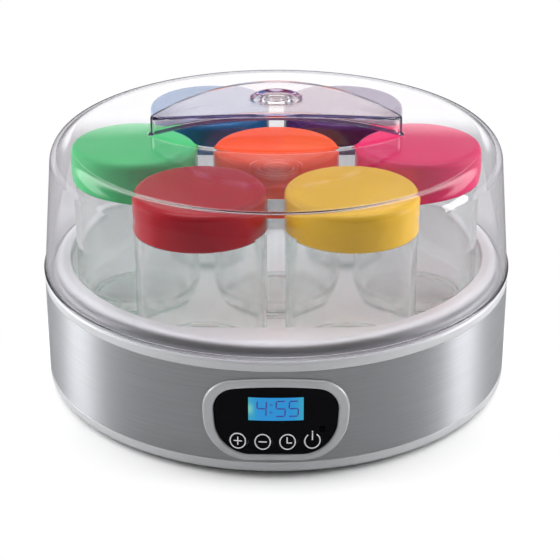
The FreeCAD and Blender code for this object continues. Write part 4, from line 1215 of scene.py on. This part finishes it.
@dataclass
class Controls:
    """Bezel, panel, display, indicator and buttons at the front of the band."""

    outline: PanelOutline = field(default_factory=PanelOutline)
    face_margins: Spot = (5.2, 3.2, 4.3)
    lip: float = 2.8
    bezel_front: float = 121.6
    bezel_foot: float = 120.15
    bezel_back: float = 118.9
    bezel_edge: float = 1.0
    panel_front: float = 120.7
    panel_back: float = 118.5
    panel_gap: float = 0.15
    display: tuple[float, float, float] = (12.9, 30.9, 42.9)
    button_radius: float = 4.4
    button_pitch: float = 11.7
    button_level: float = 19.5
    button_rear: float = 115.2
    button_flange: tuple[float, float] = (5.3, 0.8)
    indicator: tuple[float, float, float] = (21.75, 25.5, 1.6)
    window_gap: float = 0.1
    print_height: float = 0.04
    digits: tuple[tuple[str, float], ...] = (("4", -8.85), ("5", 0.05), ("5", 6.15))
    digit_levels: Spot = (33.2, 37.2, 41.1)
    digit_width: float = 4.3
    digit_lean: float = 0.045
    digit_gap: float = 0.42
    digit_stroke: float = 0.62
    colon: tuple[Plane, ...] = ((-2.2, 35.3), (-2.2, 39.2))
    colon_ring: float = 0.42
    colon_stroke: float = 0.26
    sign_ring: float = 3.6
    sign_arm: float = 1.75
    power_span: Plane = (124.0, 416.0)
    sign_stroke: float = 0.56
    sign_shift: float = -0.4
    sign_stretch: float = 1.1

    def build(self) -> None:
        """Makes every piece of the control panel."""
        self._bezel()
        self._panel()
        self._display()
        self._indicator()
        for sign in Sign:
            self._button(sign, self._column(sign))

    def _bezel(self) -> None:
        """The silver frame with eased edges."""
        skin = Skin()

        def level(margins: Spot, grow: float, radius: float) -> Ring:
            """A ring of the outline on a cylinder."""
            outline = self.outline.inset(*(margin + grow for margin in margins))
            return skin.ring(on_round(x, z, radius) for x, z in outline)

        none, lip, face = (0.0, 0.0, 0.0), (self.lip,) * 3, self.face_margins
        front, edge, steps = self.bezel_front, self.bezel_edge, 6
        rings = [level(none, 0.0, self.bezel_foot), level(none, 0.0, front - edge - 0.05)]
        rings += [level(none, edge * gained, front - edge * lacking) for gained, lacking in quarter_round(steps)]
        rings += [level(none, edge + 0.15, front), level(face, -edge - 0.15, front)]
        rings += [level(face, -edge * lacking, front - edge * gained) for gained, lacking in quarter_round(steps)]
        rings += [level(face, 0.0, self.bezel_back), level(lip, 0.0, self.bezel_back),
                  level(lip, 0.0, self.bezel_foot)]
        skin.loft([*rings, rings[0]])
        settle(skin.piece("control_bezel_frame", Finishes.BEZEL), "base", "bezel_grey", "control_bezel")

    def _column(self, sign: Sign) -> float:
        """Place of a button along the row."""
        return (list(Sign).index(sign) - (len(Sign) - 1) / 2) * self.button_pitch

    def _window(self, grow: float) -> list[Plane]:
        """Outline of the display, moved outwards."""
        half, low, high = self.display[0] + grow, self.display[1] - grow, self.display[2] + grow
        return fine_outline([(-half, low), (half, low), (half, high), (-half, high)], 1.0)

    def _panel(self) -> None:
        """The black panel with its holes."""
        skin = Skin()
        x, level, radius = self.indicator
        reach = self.button_radius + self.panel_gap
        holes = [disc(reach, (self._column(sign), self.button_level)) for sign in Sign]
        holes += [disc(radius + self.window_gap, (x, level)), self._window(self.window_gap)]
        outline = self.outline.inset(*(margin + self.panel_gap for margin in self.face_margins))
        skin.plate(outline, holes, 1.6, on_round, self.panel_front, self.panel_back)
        settle(skin.piece("control_panel_face", Finishes.PANEL), "base", "panel_black", "control_panel")

    def _display(self) -> None:
        """The lit display with its digits, colon and window."""
        skin = Skin()
        skin.plate(self._window(0.0), [], 1.6, on_round, self.panel_front, self.panel_back)
        settle(skin.piece("display_glass", Finishes.DISPLAY), "base", "display", "display_window")
        strokes = [stroke for figure, left in self.digits for stroke in self._digit(figure, left)]
        strokes += [arc_stroke(dot, self.colon_ring, self.colon_stroke, (0.0, 350.0), 14) for dot in self.colon]
        self._print("display_digits", strokes, Finishes.DIGITS, "base", "display")

    def _digit(self, figure: str, left: float) -> list[list[Plane]]:
        """Strokes of a seven-stroke figure.

        Args:
            figure: the figure, 4 or 5.
            left: its left side.

        Returns:
            Outlines of its strokes.
        """
        (low, middle, high), wide = self.digit_levels, self.digit_width

        def spot(x: float, z: float) -> Plane:
            """A point of the leaning figure."""
            return left + x + self.digit_lean * (z - middle), z

        sides = {"a": ((0, high), (wide, high)), "b": ((wide, high), (wide, middle)),
                 "c": ((wide, middle), (wide, low)), "d": ((0, low), (wide, low)),
                 "f": ((0, high), (0, middle)), "g": ((0, middle), (wide, middle))}
        strokes = []
        for name in {"4": "bcfg", "5": "acdfg"}[figure]:
            start, end = (Vector(spot(*point)) for point in sides[name])
            ease = (end - start).normalized() * self.digit_gap
            strokes.append(bar(tuple(start + ease), tuple(end - ease), self.digit_stroke, 2))
        return strokes

    def _indicator(self) -> None:
        """A small dark lens with a shallow dome."""
        x, level, radius = self.indicator
        front = self.panel_front
        skin = Skin()
        rings = [skin.ring([on_round(x, level, self.panel_back)])]
        for reach, depth in ((radius, self.panel_back), (radius, front - 0.2), (radius - 0.06, front - 0.06),
                             (radius - 0.2, front), (radius * 0.5, front + 0.06)):
            rings.append(skin.ring(on_round(px, pz, depth) for px, pz in disc(reach, (x, level))))
        rings.append(skin.ring([on_round(x, level, front + 0.08)]))
        skin.loft(rings)
        settle(skin.piece("indicator_lens_dome", Finishes.LENS), "base", "indicator", "indicator_lens")

    def _button(self, sign: Sign, x: float) -> None:
        """A round button with an eased edge, its flange and its printed sign.

        Args:
            sign: sign of the button.
            x: place along the row.
        """
        name, level, radius = "button_" + sign.value, self.button_level, self.button_radius
        flange, wall = self.button_flange
        skin = Skin()
        flat = [(0.0, self.button_rear), (flange, self.button_rear), (flange, self.button_rear + wall),
                (radius, self.button_rear + wall)]
        rings = [skin.ring((px, -depth, pz) for px, pz in (disc(reach, (x, level)) if reach else [(x, level)]))
                 for reach, depth in flat]
        for reach, depth in ((radius, 0.05), (radius - 0.05, 0.0), (radius - 0.3, 0.0), (radius * 0.5, 0.0)):
            rings.append(skin.ring(on_round(px, pz, self.panel_front - depth)
                                   for px, pz in disc(reach, (x, level))))
        rings.append(skin.ring([on_round(x, level, self.panel_front)]))
        skin.loft(rings)
        settle(skin.piece(name + "_cap", Finishes.BUTTON), name, "panel_black", name)
        x += self.sign_shift
        self._print(name + "_sign", self._sign(sign, x), Finishes.INK, name, "panel_black")
        if sign is Sign.POWER:
            top = strip((x, level + radius + 0.17), (x, level + radius + 0.95), self.sign_stroke)
            self._print("power_sign_tip", [top], Finishes.INK, "base", "panel_black")

    def _sign(self, sign: Sign, x: float) -> list[list[Plane]]:
        """Strokes of a button's sign, a little taller than wide."""
        return [[(px, self.button_level + (pz - self.button_level) * self.sign_stretch) for px, pz in stroke]
                for stroke in self._flat_sign(sign, x)]

    def _flat_sign(self, sign: Sign, x: float) -> list[list[Plane]]:
        """Strokes of a sign before it is stretched.

        Args:
            sign: the sign.
            x: place along the row.

        Returns:
            Outlines of the strokes.
        """
        level, stroke = self.button_level, self.sign_stroke
        span = self.power_span if sign is Sign.POWER else (90.0, 449.9)
        ring, arm = arc_stroke((x, level), self.sign_ring, stroke, span, 64), self.sign_arm
        across = bar((x - arm, level), (x + arm, level), stroke)
        if sign is Sign.PLUS:
            return [ring, across, bar((x, level + 0.36), (x, level + arm), stroke),
                    bar((x, level - arm), (x, level - 0.36), stroke)]
        if sign is Sign.MINUS:
            return [ring, across]
        if sign is Sign.TIMER:
            return [ring, bar((x - 0.2, level - 0.55), (x - 0.2, level + 2.1), stroke),
                    bar((x + 0.3, level - 0.55), (x + 1.9, level - 0.55), stroke)]
        top = level + (self.button_radius - 0.06) / self.sign_stretch
        return [ring, strip((x, level + 0.4), (x, top), stroke)]

    def _print(self, name: str, strokes: Sequence[list[Plane]], finish: Finish, body: str, slot: str) -> None:
        """Thin raised print on the panel's curve.

        Args:
            name: name of the piece.
            strokes: outlines of the strokes.
            finish: finish of the print.
            body: body that it moves with.
            slot: not used; handed on to settle.
        """
        skin = Skin()
        for stroke in strokes:
            skin.plate(stroke, [], 0.7, on_round, self.panel_front + self.print_height,
                       self.panel_front - self.print_height)
        settle(skin.piece(name, finish), body, slot)


# Jars

@dataclass
class Jar:
    """A glass jar with a stepped foot and its smooth cap."""

    colour: CapColour
    centre: Plane
    radius: float = 31.7
    wall: float = 2.5
    floor: float = 38.0
    foot: float = 25.5
    foot_width: float = 3.0
    foot_height: float = 3.5
    punt: float = 1.2
    base: float = 4.5
    heel_inset: float = 2.2
    heel_round: float = 11.0
    neck: float = 29.6
    neck_wall: float = 2.4
    neck_low: float = 104.75
    neck_slope: float = 0.1
    neck_rise: float = 3.2
    lip: float = 121.2
    cap_radius: float = 32.0
    cap_wall: float = 1.6
    cap_low: float = 104.8
    cap_high: float = 123.0
    cap_edge: float = 3.5
    plug_depth: float = 4.2

    def build(self) -> None:
        """Makes the jar and its cap, each on its own body."""
        self._glass()
        self._cap()

    def _glass(self) -> None:
        """Foot ring, curved heel, straight wall, neck and rolled lip, inside and outside."""
        floor, foot, heel = self.floor, self.foot, self.floor + self.foot_height
        bore = self.radius - self.wall
        profile = rounded([
            (0.0, floor + self.punt), (foot - self.foot_width, floor + self.punt, 1.0),
            (foot - self.foot_width + 0.3, floor, 0.4), (foot, floor, 1.0), (foot, heel, 0.6),
            (self.radius - self.heel_inset, heel + 4.0, 4.0), (self.radius, heel + 10.0, self.heel_round),
            (self.radius, self.neck_low - self.neck_slope, 0.15), (self.neck, self.neck_low, 0.2),
            (self.neck, self.lip, 0.9), (self.neck - self.neck_wall, self.lip, 0.9),
            (self.neck - self.neck_wall, self.neck_low + self.neck_rise, 0.8), (bore, self.neck_low + 0.3, 0.8),
            (bore, heel + 10.0, 8.0), (foot - self.wall / 2, floor + self.base + self.punt, 3.0),
            (0.0, floor + self.base)], steps=7)
        skin = Skin()
        skin.turn(profile, 112, self.centre)
        seat = self.colour.seat
        settle(skin.piece(f"jar_{seat}_glass", Finishes.GLASS, 50.0), f"jar_{seat}", "jar_glass", f"jar_{seat}")

    def _cap(self) -> None:
        """A plain round cap with a rounded edge and a sealing ring inside."""
        skirt = self.cap_radius - self.cap_wall
        plug = self.neck - self.neck_wall - 0.3
        hollow, plug_low = plug - self.cap_wall, self.lip - self.plug_depth
        profile = rounded([
            (0.0, self.lip), (hollow, self.lip, 0.4), (hollow, plug_low, 0.4), (plug, plug_low, 0.4),
            (plug, self.lip), (skirt, self.lip, 0.5), (skirt, self.cap_low, 0.3),
            (self.cap_radius, self.cap_low, 0.5), (self.cap_radius, self.cap_high, self.cap_edge),
            (0.0, self.cap_high)], steps=9)
        skin = Skin()
        skin.turn(profile, 128, self.centre)
        seat = self.colour.seat
        settle(skin.piece(f"cap_{seat}_shell", self.colour.finish), f"cap_{seat}", f"cap_{seat}_colour",
               f"cap_{seat}")


@dataclass
class JarSet:
    """Seven jars: six about one in the middle."""

    pitch: float = 72.0
    order: tuple[CapColour, ...] = (CapColour.RIGHT, CapColour.REAR_RIGHT, CapColour.REAR_LEFT, CapColour.LEFT,
                                    CapColour.FRONT_LEFT, CapColour.FRONT_RIGHT)

    def build(self) -> None:
        """Makes all the jars with their caps."""
        Jar(CapColour.MIDDLE, (0.0, 0.0)).build()
        for step, colour in enumerate(self.order):
            angle = FULL_TURN * step / len(self.order)
            Jar(colour, (self.pitch * math.cos(angle), self.pitch * math.sin(angle))).build()


# Cover

@dataclass
class Cover:
    """The clear cover: drafted wall, rounded top and a hollow arched grip with a dimple."""

    land: tuple[float, float, float] = (117.0, 118.2, 61.0)
    flange: tuple[float, float, float] = (120.3, 61.7, 63.3)
    foot: float = 119.5
    crown: float = 113.8
    top: float = 129.5
    corner: float = 11.0
    wall: float = 2.5
    grip_bow: float = 92.949
    grip_offset: float = 65.949
    grip_round: float = 4.2
    grip_arch: float = 200.506
    grip_peak: float = 149.0
    grip_wall: float = 2.0
    grip_edge: float = 1.0
    grip_inner_edge: float = 0.2
    grip_root: float = 1.4
    dimple: float = 13.3
    dimple_depth: float = 1.5
    dimple_ring: float = 6.2
    dimple_ring_width: float = 1.5
    dimple_rise: float = 1.1
    dimple_knob: float = 1.6
    dimple_knob_rise: float = 0.5
    dimple_slope: float = 1.9
    dimple_shares: tuple[float, ...] = (0.04, 0.1, 0.17, 0.24, 0.3, 0.35, 0.4, 0.45, 0.5, 0.56, 0.62, 0.68, 0.74,
                                        0.79, 0.83, 0.87, 0.9, 0.93, 0.955, 0.975, 0.99, 1.0)
    top_shares: tuple[float, ...] = (0.03, 0.15, 0.35, 0.6, 0.85, 1.0)
    end_steps: int = 10
    side_steps: int = 42
    edge_steps: int = 7

    @property
    def count(self) -> int:
        """Points in every ring."""
        return 4 * (self.end_steps + self.side_steps)

    def build(self) -> None:
        """Makes the cover as one closed shell, from its inner top to its outer top."""
        skin = Skin()
        inner = self._grip(skin, self.grip_wall, self.grip_inner_edge, self.top - self.wall,
                           self.grip_root + self.grip_wall)
        outer = self._grip(skin, 0.0, self.grip_edge, self.top, self.grip_root)
        low, bore = self.top - self.wall, self.crown - self.wall
        (in_foot, land, land_low), (out_foot, under, over) = self.land, self.flange
        shell = rounded([
            (bore - 2 * self.corner, low), (bore, low, self.corner - self.wall),
            (in_foot, over, 6.0), (in_foot, land_low, 0.3), (land, land_low, 0.3), (land, under, 0.2),
            (out_foot, under, 0.4), (out_foot, over, 0.6), (self.foot, over, 0.5),
            (self.crown, self.top, self.corner), (self.crown - 2 * self.corner, self.top)], steps=14)
        walls = [skin.ring((x, y, height) for x, y in self._round(radius)) for radius, height in shell[1:-1]]
        top, edge, foot = outer
        skin.loft([*inner[0], *inner[1][1:], *inner[2][1:], *walls, *reversed(foot)])
        # The grip's edge rounding takes the painted violet edge tint.
        skin.loft(edge[::-1], 1)
        skin.loft(top[::-1])
        settle(skin.piece("clear_cover_shell", (Finishes.COVER, Finishes.COVER_PAINTED_EDGE), 50.0), "cover", "clear",
               "clear_cover")

    def _round(self, radius: float) -> list[Plane]:
        """A round outline that starts at the right, as the grip's does."""
        return arc((0.0, 0.0), radius, 0.0, FULL_TURN, self.count)[:-1]

    def _lens(self, inset: float) -> list[Plane]:
        """Outline of the grip from above, from the right end counter-clockwise.

        Args:
            inset: distance inwards.

        Returns:
            Its points, as many for every inset.
        """
        end = math.sqrt((self.grip_bow - self.grip_round) ** 2 - self.grip_offset ** 2)
        lean = math.atan2(self.grip_offset, end)
        quarter = arc((end, 0.0), self.grip_round - inset, 0.0, lean, self.end_steps)[:-1]
        quarter += arc((0.0, -self.grip_offset), self.grip_bow - inset, lean, QUARTER_TURN, self.side_steps)[:-1]
        middle = (0.0, self.grip_bow - inset - self.grip_offset)
        left = [(-x, y) for x, y in reversed(quarter[1:])]
        rear = [*quarter, middle, *left]
        start = (-quarter[0][0], 0.0)
        return [*rear, start, *[(x, -y) for x, y in reversed(rear[1:])]]

    def _arch(self, x: float, inset: float) -> float:
        """Height of the grip's arched top."""
        radius = self.grip_arch - inset
        return self.grip_peak - self.grip_arch + math.sqrt(radius ** 2 - x ** 2)

    def _grip(self, skin: Skin, inset: float, edge: float, foot: float, root: float) -> tuple[list[Ring], ...]:
        """Rings of one side of the grip, from its top's middle down to the plate.

        Args:
            skin: the shell in the making.
            inset: distance inside the outer surface.
            edge: rounding along the top.
            foot: height of the plate.
            root: rounding between grip and plate.

        Returns:
            The rings of the top, of its edge and of the wall; each part starts with the last ring before it.
        """
        brim = self._lens(inset + edge + 0.2)
        hub = self._round(self.dimple)
        top = [skin.ring([(0.0, 0.0, self._dimpled(0.0, 0.0, inset))])]
        for share in self.dimple_shares:
            shrunk = [(x * share, y * share) for x, y in hub]
            top.append(skin.ring((x, y, self._dimpled(x, y, inset)) for x, y in shrunk))
        for share in self.top_shares:
            between = [Vector(near).lerp(far, share) for near, far in zip(hub, map(Vector, brim))]
            top.append(skin.ring((x, y, self._arch(x, inset)) for x, y in between))
        brow, wall = [top[-1]], []
        for gained, lacking in quarter_round(self.edge_steps):
            brow.append(skin.ring((x, y, self._arch(x, inset) - edge * gained)
                                  for x, y in self._lens(inset + edge * lacking)))
        for gained, lacking in quarter_round(self.edge_steps):
            wall.append(skin.ring((x, y, foot + root * lacking) for x, y in self._lens(inset - root * gained)))
        wall.append(skin.ring((x, y, foot) for x, y in self._lens(inset - root - 0.3)))
        return top, brow, [brow[-1], *wall]

    def _dimpled(self, x: float, y: float, inset: float) -> float:
        """Height of the dimple: a dished floor with one raised ring; the inner side is plain.

        Args:
            x: place to the right.
            y: place to the rear.
            inset: distance inside the outer surface.

        Returns:
            The height.
        """
        level = self._arch(x, inset)
        if inset:
            return level
        reach = math.hypot(x, y)
        floor = self.grip_peak - self.dimple_depth
        swell = math.exp(-((reach - self.dimple_ring) / self.dimple_ring_width) ** 2) * self.dimple_rise
        knob = math.exp(-(reach / self.dimple_knob) ** 2) * self.dimple_knob_rise
        wall = min(1.0, max(0.0, (self.dimple - reach) / self.dimple_slope))
        share = wall * wall * (3 - 2 * wall)
        return level + (floor + swell + knob - level) * share


# Works inside the base

class Works(Enum):
    """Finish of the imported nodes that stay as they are, inside the base."""

    SILICONE = (Moulding("heater silicone", tint(176, 70, 40), 0.6, mottle=0.1), ("heater_mat",))
    SHIELD = (SilverPaint("shield sheet", tint(200, 200, 200), 0.3, metallic=1.0, coat=0.0), ("heat_shield",))
    BOARD = (Moulding("board lacquer", tint(24, 84, 52), 0.35, mottle=0.12, coat=0.4),
             ("power_board", "control_board"))
    PARTS = (Moulding("component black", tint(30, 30, 32), 0.45, mottle=0.08),
             ("transformer", "heater_relay", "filter_capacitor", "buzzer", "microcontroller", "tact_switches"))
    TERMINAL = (Moulding("terminal green", tint(40, 120, 80), 0.4, mottle=0.06), ("terminal_block",))
    SENSORS = (SilverPaint("sensor can", tint(184, 182, 176), 0.35, metallic=0.9, coat=0.0),
               ("thermal_cutout", "temperature_sensor"))
    LEADS = (Moulding("lead sleeve", tint(210, 206, 196), 0.55, mottle=0.08), ("heater_leads",))
    RIBBON = (Moulding("ribbon sleeve", tint(150, 152, 156), 0.5, mottle=0.1), ("ribbon_cable",))
    SCREWS = (Finishes.SCREW, ("board_screws",))
    MODULE = (Moulding("display frame", tint(36, 38, 40), 0.5, mottle=0.08), ("display_module",))

    def dress(self) -> None:
        """Gives the nodes their finish."""
        finish, nodes = self.value
        for name in nodes:
            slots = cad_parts[name].data.materials
            slots.clear()
            slots.append(finish.material())
            LOG.info("%s: %s", name, finish.name)


# Studio

@dataclass(frozen=True)
class Lamp:
    """A soft box; places and sizes in metres, power in watts."""

    name: str
    place: Spot
    aim: Spot
    size: Plane
    power: float
    mirrored: bool = False
    spared: str | None = None

    def hang(self) -> None:
        """Hangs the lamp; only a mirrored one shows in glossy pieces, and a spared piece gets none of it."""
        data = bpy.data.lights.new(self.name, "AREA")
        data.shape = "RECTANGLE"
        data.size, data.size_y = self.size
        data.energy = self.power
        lamp = bpy.data.objects.new(self.name, data)
        lamp.location = self.place
        lamp.rotation_mode = "QUATERNION"
        lamp.rotation_quaternion = (Vector(self.aim) - Vector(self.place)).to_track_quat("-Z", "Y")
        lamp.visible_camera = False
        lamp.visible_transmission = False
        lamp.visible_glossy = self.mirrored
        bpy.context.scene.collection.objects.link(lamp)
        if self.spared:
            spared = bpy.data.collections.new(self.name + " spares")
            spared.objects.link(bpy.data.objects[self.spared])
            spared.collection_objects[0].light_linking.link_state = "EXCLUDE"
            lamp.light_linking.receiver_collection = spared


@dataclass
class Studio:
    """Floor, soft light and the camera of the picture."""

    floor_radius: float = 6.0
    floor_colour: Colour = grey(0.93)
    camera_place: Spot = (0.0019, -0.8375, 0.4306)
    camera_pitch: float = 24.55
    lens: float = 112.63
    bounces: int = 32
    fill: float = 0.6
    room: Plane = (0.06, 0.1)
    ceiling: Plane = (0.6, 2.0)
    guided: float = 0.55
    screen: float = 1.25
    boxes: float = 1.6
    lamps: tuple[Lamp, ...] = (
        Lamp("softbox above", (0.0, 0.2, 1.25), (0.0, 0.02, 0.1), (1.1, 0.8), 6.0),
        Lamp("box left", (-1.0, 0.25, 0.7), (0.0, 0.0, 0.06), (0.9, 0.9), 13.0),
        Lamp("box right", (1.0, 0.25, 0.7), (0.0, 0.0, 0.06), (0.9, 0.9), 13.0),
        Lamp("front left", (-1.0, -0.45, 0.35), (0.0, 0.0, 0.08), (0.5, 0.5), 0.7),
        Lamp("front right", (1.0, -0.45, 0.35), (0.0, 0.0, 0.08), (0.5, 0.5), 0.5),
        Lamp("strip left", (-1.0, 0.17, 0.2), (0.0, 0.0, 0.05), (0.36, 0.4), 3.4, True, "clear_cover_shell"),
        Lamp("strip right", (1.0, 0.04, 0.2), (0.0, 0.0, 0.05), (0.3, 0.4), 3.2, True))

    def build(self) -> None:
        """Lays the floor, hangs the lamps and sets the camera."""
        scene = bpy.context.scene
        scene.view_settings.view_transform = "Standard"
        for limit in ("max_bounces", "transmission_bounces", "glossy_bounces", "transparent_max_bounces"):
            setattr(scene.cycles, limit, self.bounces)
        self._floor()
        self._surround()
        for lamp in self.lamps:
            lamp.hang()
        self._camera()

    def _floor(self) -> None:
        """A pale floor that keeps the shadow and fades to white further out."""
        skin = Skin()
        rings = [skin.ring([(0.0, 0.0, 0.0)])]
        rings += [skin.ring(circle(radius / MM, 0.0, 96)) for radius in (0.3, 1.0, self.floor_radius)]
        skin.loft(rings)
        floor = skin.piece("studio_floor", FloorPaper("floor paper", self.floor_colour))
        if floor.data.polygons[0].normal.z < 0:
            floor.data.flip_normals()

    def _surround(self) -> None:
        """White for what is seen directly or through glass; a soft room in reflections."""
        world = bpy.data.worlds.new("studio")
        bpy.context.scene.world = world
        world.use_nodes = True
        bench = Bench(world.node_tree)
        across, depth, rise = bench.axes(bench.node("ShaderNodeTexCoord", output="Generated"))
        through, mirror = bench.light_path("Is Transmission Ray"), bench.light_path("Is Singular Ray")
        layers, mirrors = bench.light_path("Transmission Depth"), bench.light_path("Glossy Depth")
        straight = through * bench.span(mirrors, 0.6, 0.4)
        seen = bench.maths("MAXIMUM", bench.light_path("Is Camera Ray"), straight)
        bent = bench.maths("MAXIMUM", bench.light_path("Is Glossy Ray"), through) * (1.0 - seen)
        sharp = mirror * bench.span(layers, 2.6, 2.4)
        screen = bench.span(depth, 0.85, 0.93) * bench.window(rise, (0.2, 0.28), (0.328, 0.34))
        boxes = bench.span(bench.maths("ABSOLUTE", across), 0.055, 0.075) * bench.span(depth, 0.2, 0.4)
        boxes = boxes * bench.window(rise, (0.45, 0.5), (0.6, 0.66))
        ceiling = self.ceiling[0] * bench.span(rise, 0.45, 0.9) + self.ceiling[1] * bench.span(rise, 0.82, 0.9)
        ceiling = ceiling * bench.span(depth, -0.1, 0.25, 0.3, 1.0)
        room = self.room[0] + self.room[1] * bench.span(depth, -0.3, 0.7) + (1.0 - sharp) * ceiling
        room = room + self.guided * through * bench.span(mirrors, 1.6, 1.8) + self.boxes * sharp * boxes
        room = room + self.screen * mirror * bench.span(layers, 4.6, 4.4) * screen
        fill = self.fill * bench.span(depth, -0.6, 0.4, 0.25, 1.0)
        level = seen + bent * room + (1.0 - seen) * (1.0 - bent) * fill
        shade = bench.node("ShaderNodeCombineColor", sockets={0: level, 1: level, 2: level})
        light = bench.node("ShaderNodeBackground", sockets={"Color": shade, "Strength": 1.0})
        bench.node("ShaderNodeOutputWorld", sockets={"Surface": light})

    def _camera(self) -> None:
        """The camera at the picture's place."""
        data = bpy.data.cameras.new("picture")
        data.lens = self.lens
        data.sensor_width = 36.0
        data.clip_start, data.clip_end = 0.05, 50.0
        camera = bpy.data.objects.new("picture", data)
        camera.location = self.camera_place
        camera.rotation_euler = (math.radians(90.0 - self.camera_pitch), 0.0, 0.0)
        bpy.context.scene.collection.objects.link(camera)
        bpy.context.scene.camera = camera


@dataclass(frozen=True)
class FloorPaper(Finish):
    """Matt paper that turns white away from the object."""

    name: str
    colour: Colour

    def surface(self, bench: Bench) -> Wire:
        """Paper near the object and plain white further out; seen through glass it glows grey except towards the
        rear, a painted shade; in glossy reflections it turns dark grey, a painted dark reflection, near black
        ahead for rays bent after a mirroring.

        Args:
            bench: the material's nodes.

        Returns:
            The surface shader.
        """
        where = bench.node("ShaderNodeTexCoord", output="Object")
        across, depth, _ = bench.axes(where)
        reach = (across * across + depth * depth) ** 0.5
        bent = bench.light_path("Is Transmission Ray")
        mirrored = bench.light_path("Is Glossy Ray") * (1.0 - bent)
        looked = bench.maths("MAXIMUM", bench.light_path("Is Camera Ray"), bent)
        fibre = bench.noise(where, 900.0, 2.0)
        duller = dimmed(self.colour, 0.985)
        paper = bench.node("ShaderNodeBsdfDiffuse", sockets={"Color": bench.blend(duller, self.colour, fibre)})
        # Painted shade: seen through glass the floor glows grey 0.7 instead of white, except towards the rear.
        bright = bench.blend(grey(1.0), grey(0.7), bent * bench.span(depth, 0.42, 0.28))
        white = bench.node("ShaderNodeEmission", sockets={"Color": bright, "Strength": 1.0})
        plain = bench.node("ShaderNodeMixShader",
                           sockets={0: looked * bench.span(reach, 0.115, 0.155), 1: paper, 2: white})
        # Painted dark reflection: glossy rays see the whole floor as dark grey, a little lighter ahead, and rays
        # bent after a mirroring see it near black ahead.
        ahead = bench.span(depth, -0.05, -0.15)
        dark = bench.blend(bench.blend(grey(0.14), grey(0.17), ahead), grey(0.02), bent)
        painted_reflection_sheet = bench.node("ShaderNodeBsdfDiffuse", sockets={"Color": dark})
        mirror = bench.span(bench.light_path("Glossy Depth"), 0.4, 0.6)
        hidden = bench.maths("MAXIMUM", mirrored, bent * ahead * mirror)
        return bench.node("ShaderNodeMixShader", sockets={0: hidden, 1: plain, 2: painted_reflection_sheet})


def main() -> None:
    """Builds the part from the floor up, then its studio."""
    logging.basicConfig(level=logging.INFO, format="%(name)s: %(message)s")
    copies = CopyRing()
    Base().build(copies)
    Controls().build()
    JarSet().build()
    Cover().build()
    for works in Works:
        works.dress()
    Studio().build()


if __name__ == "__main__":
    main()
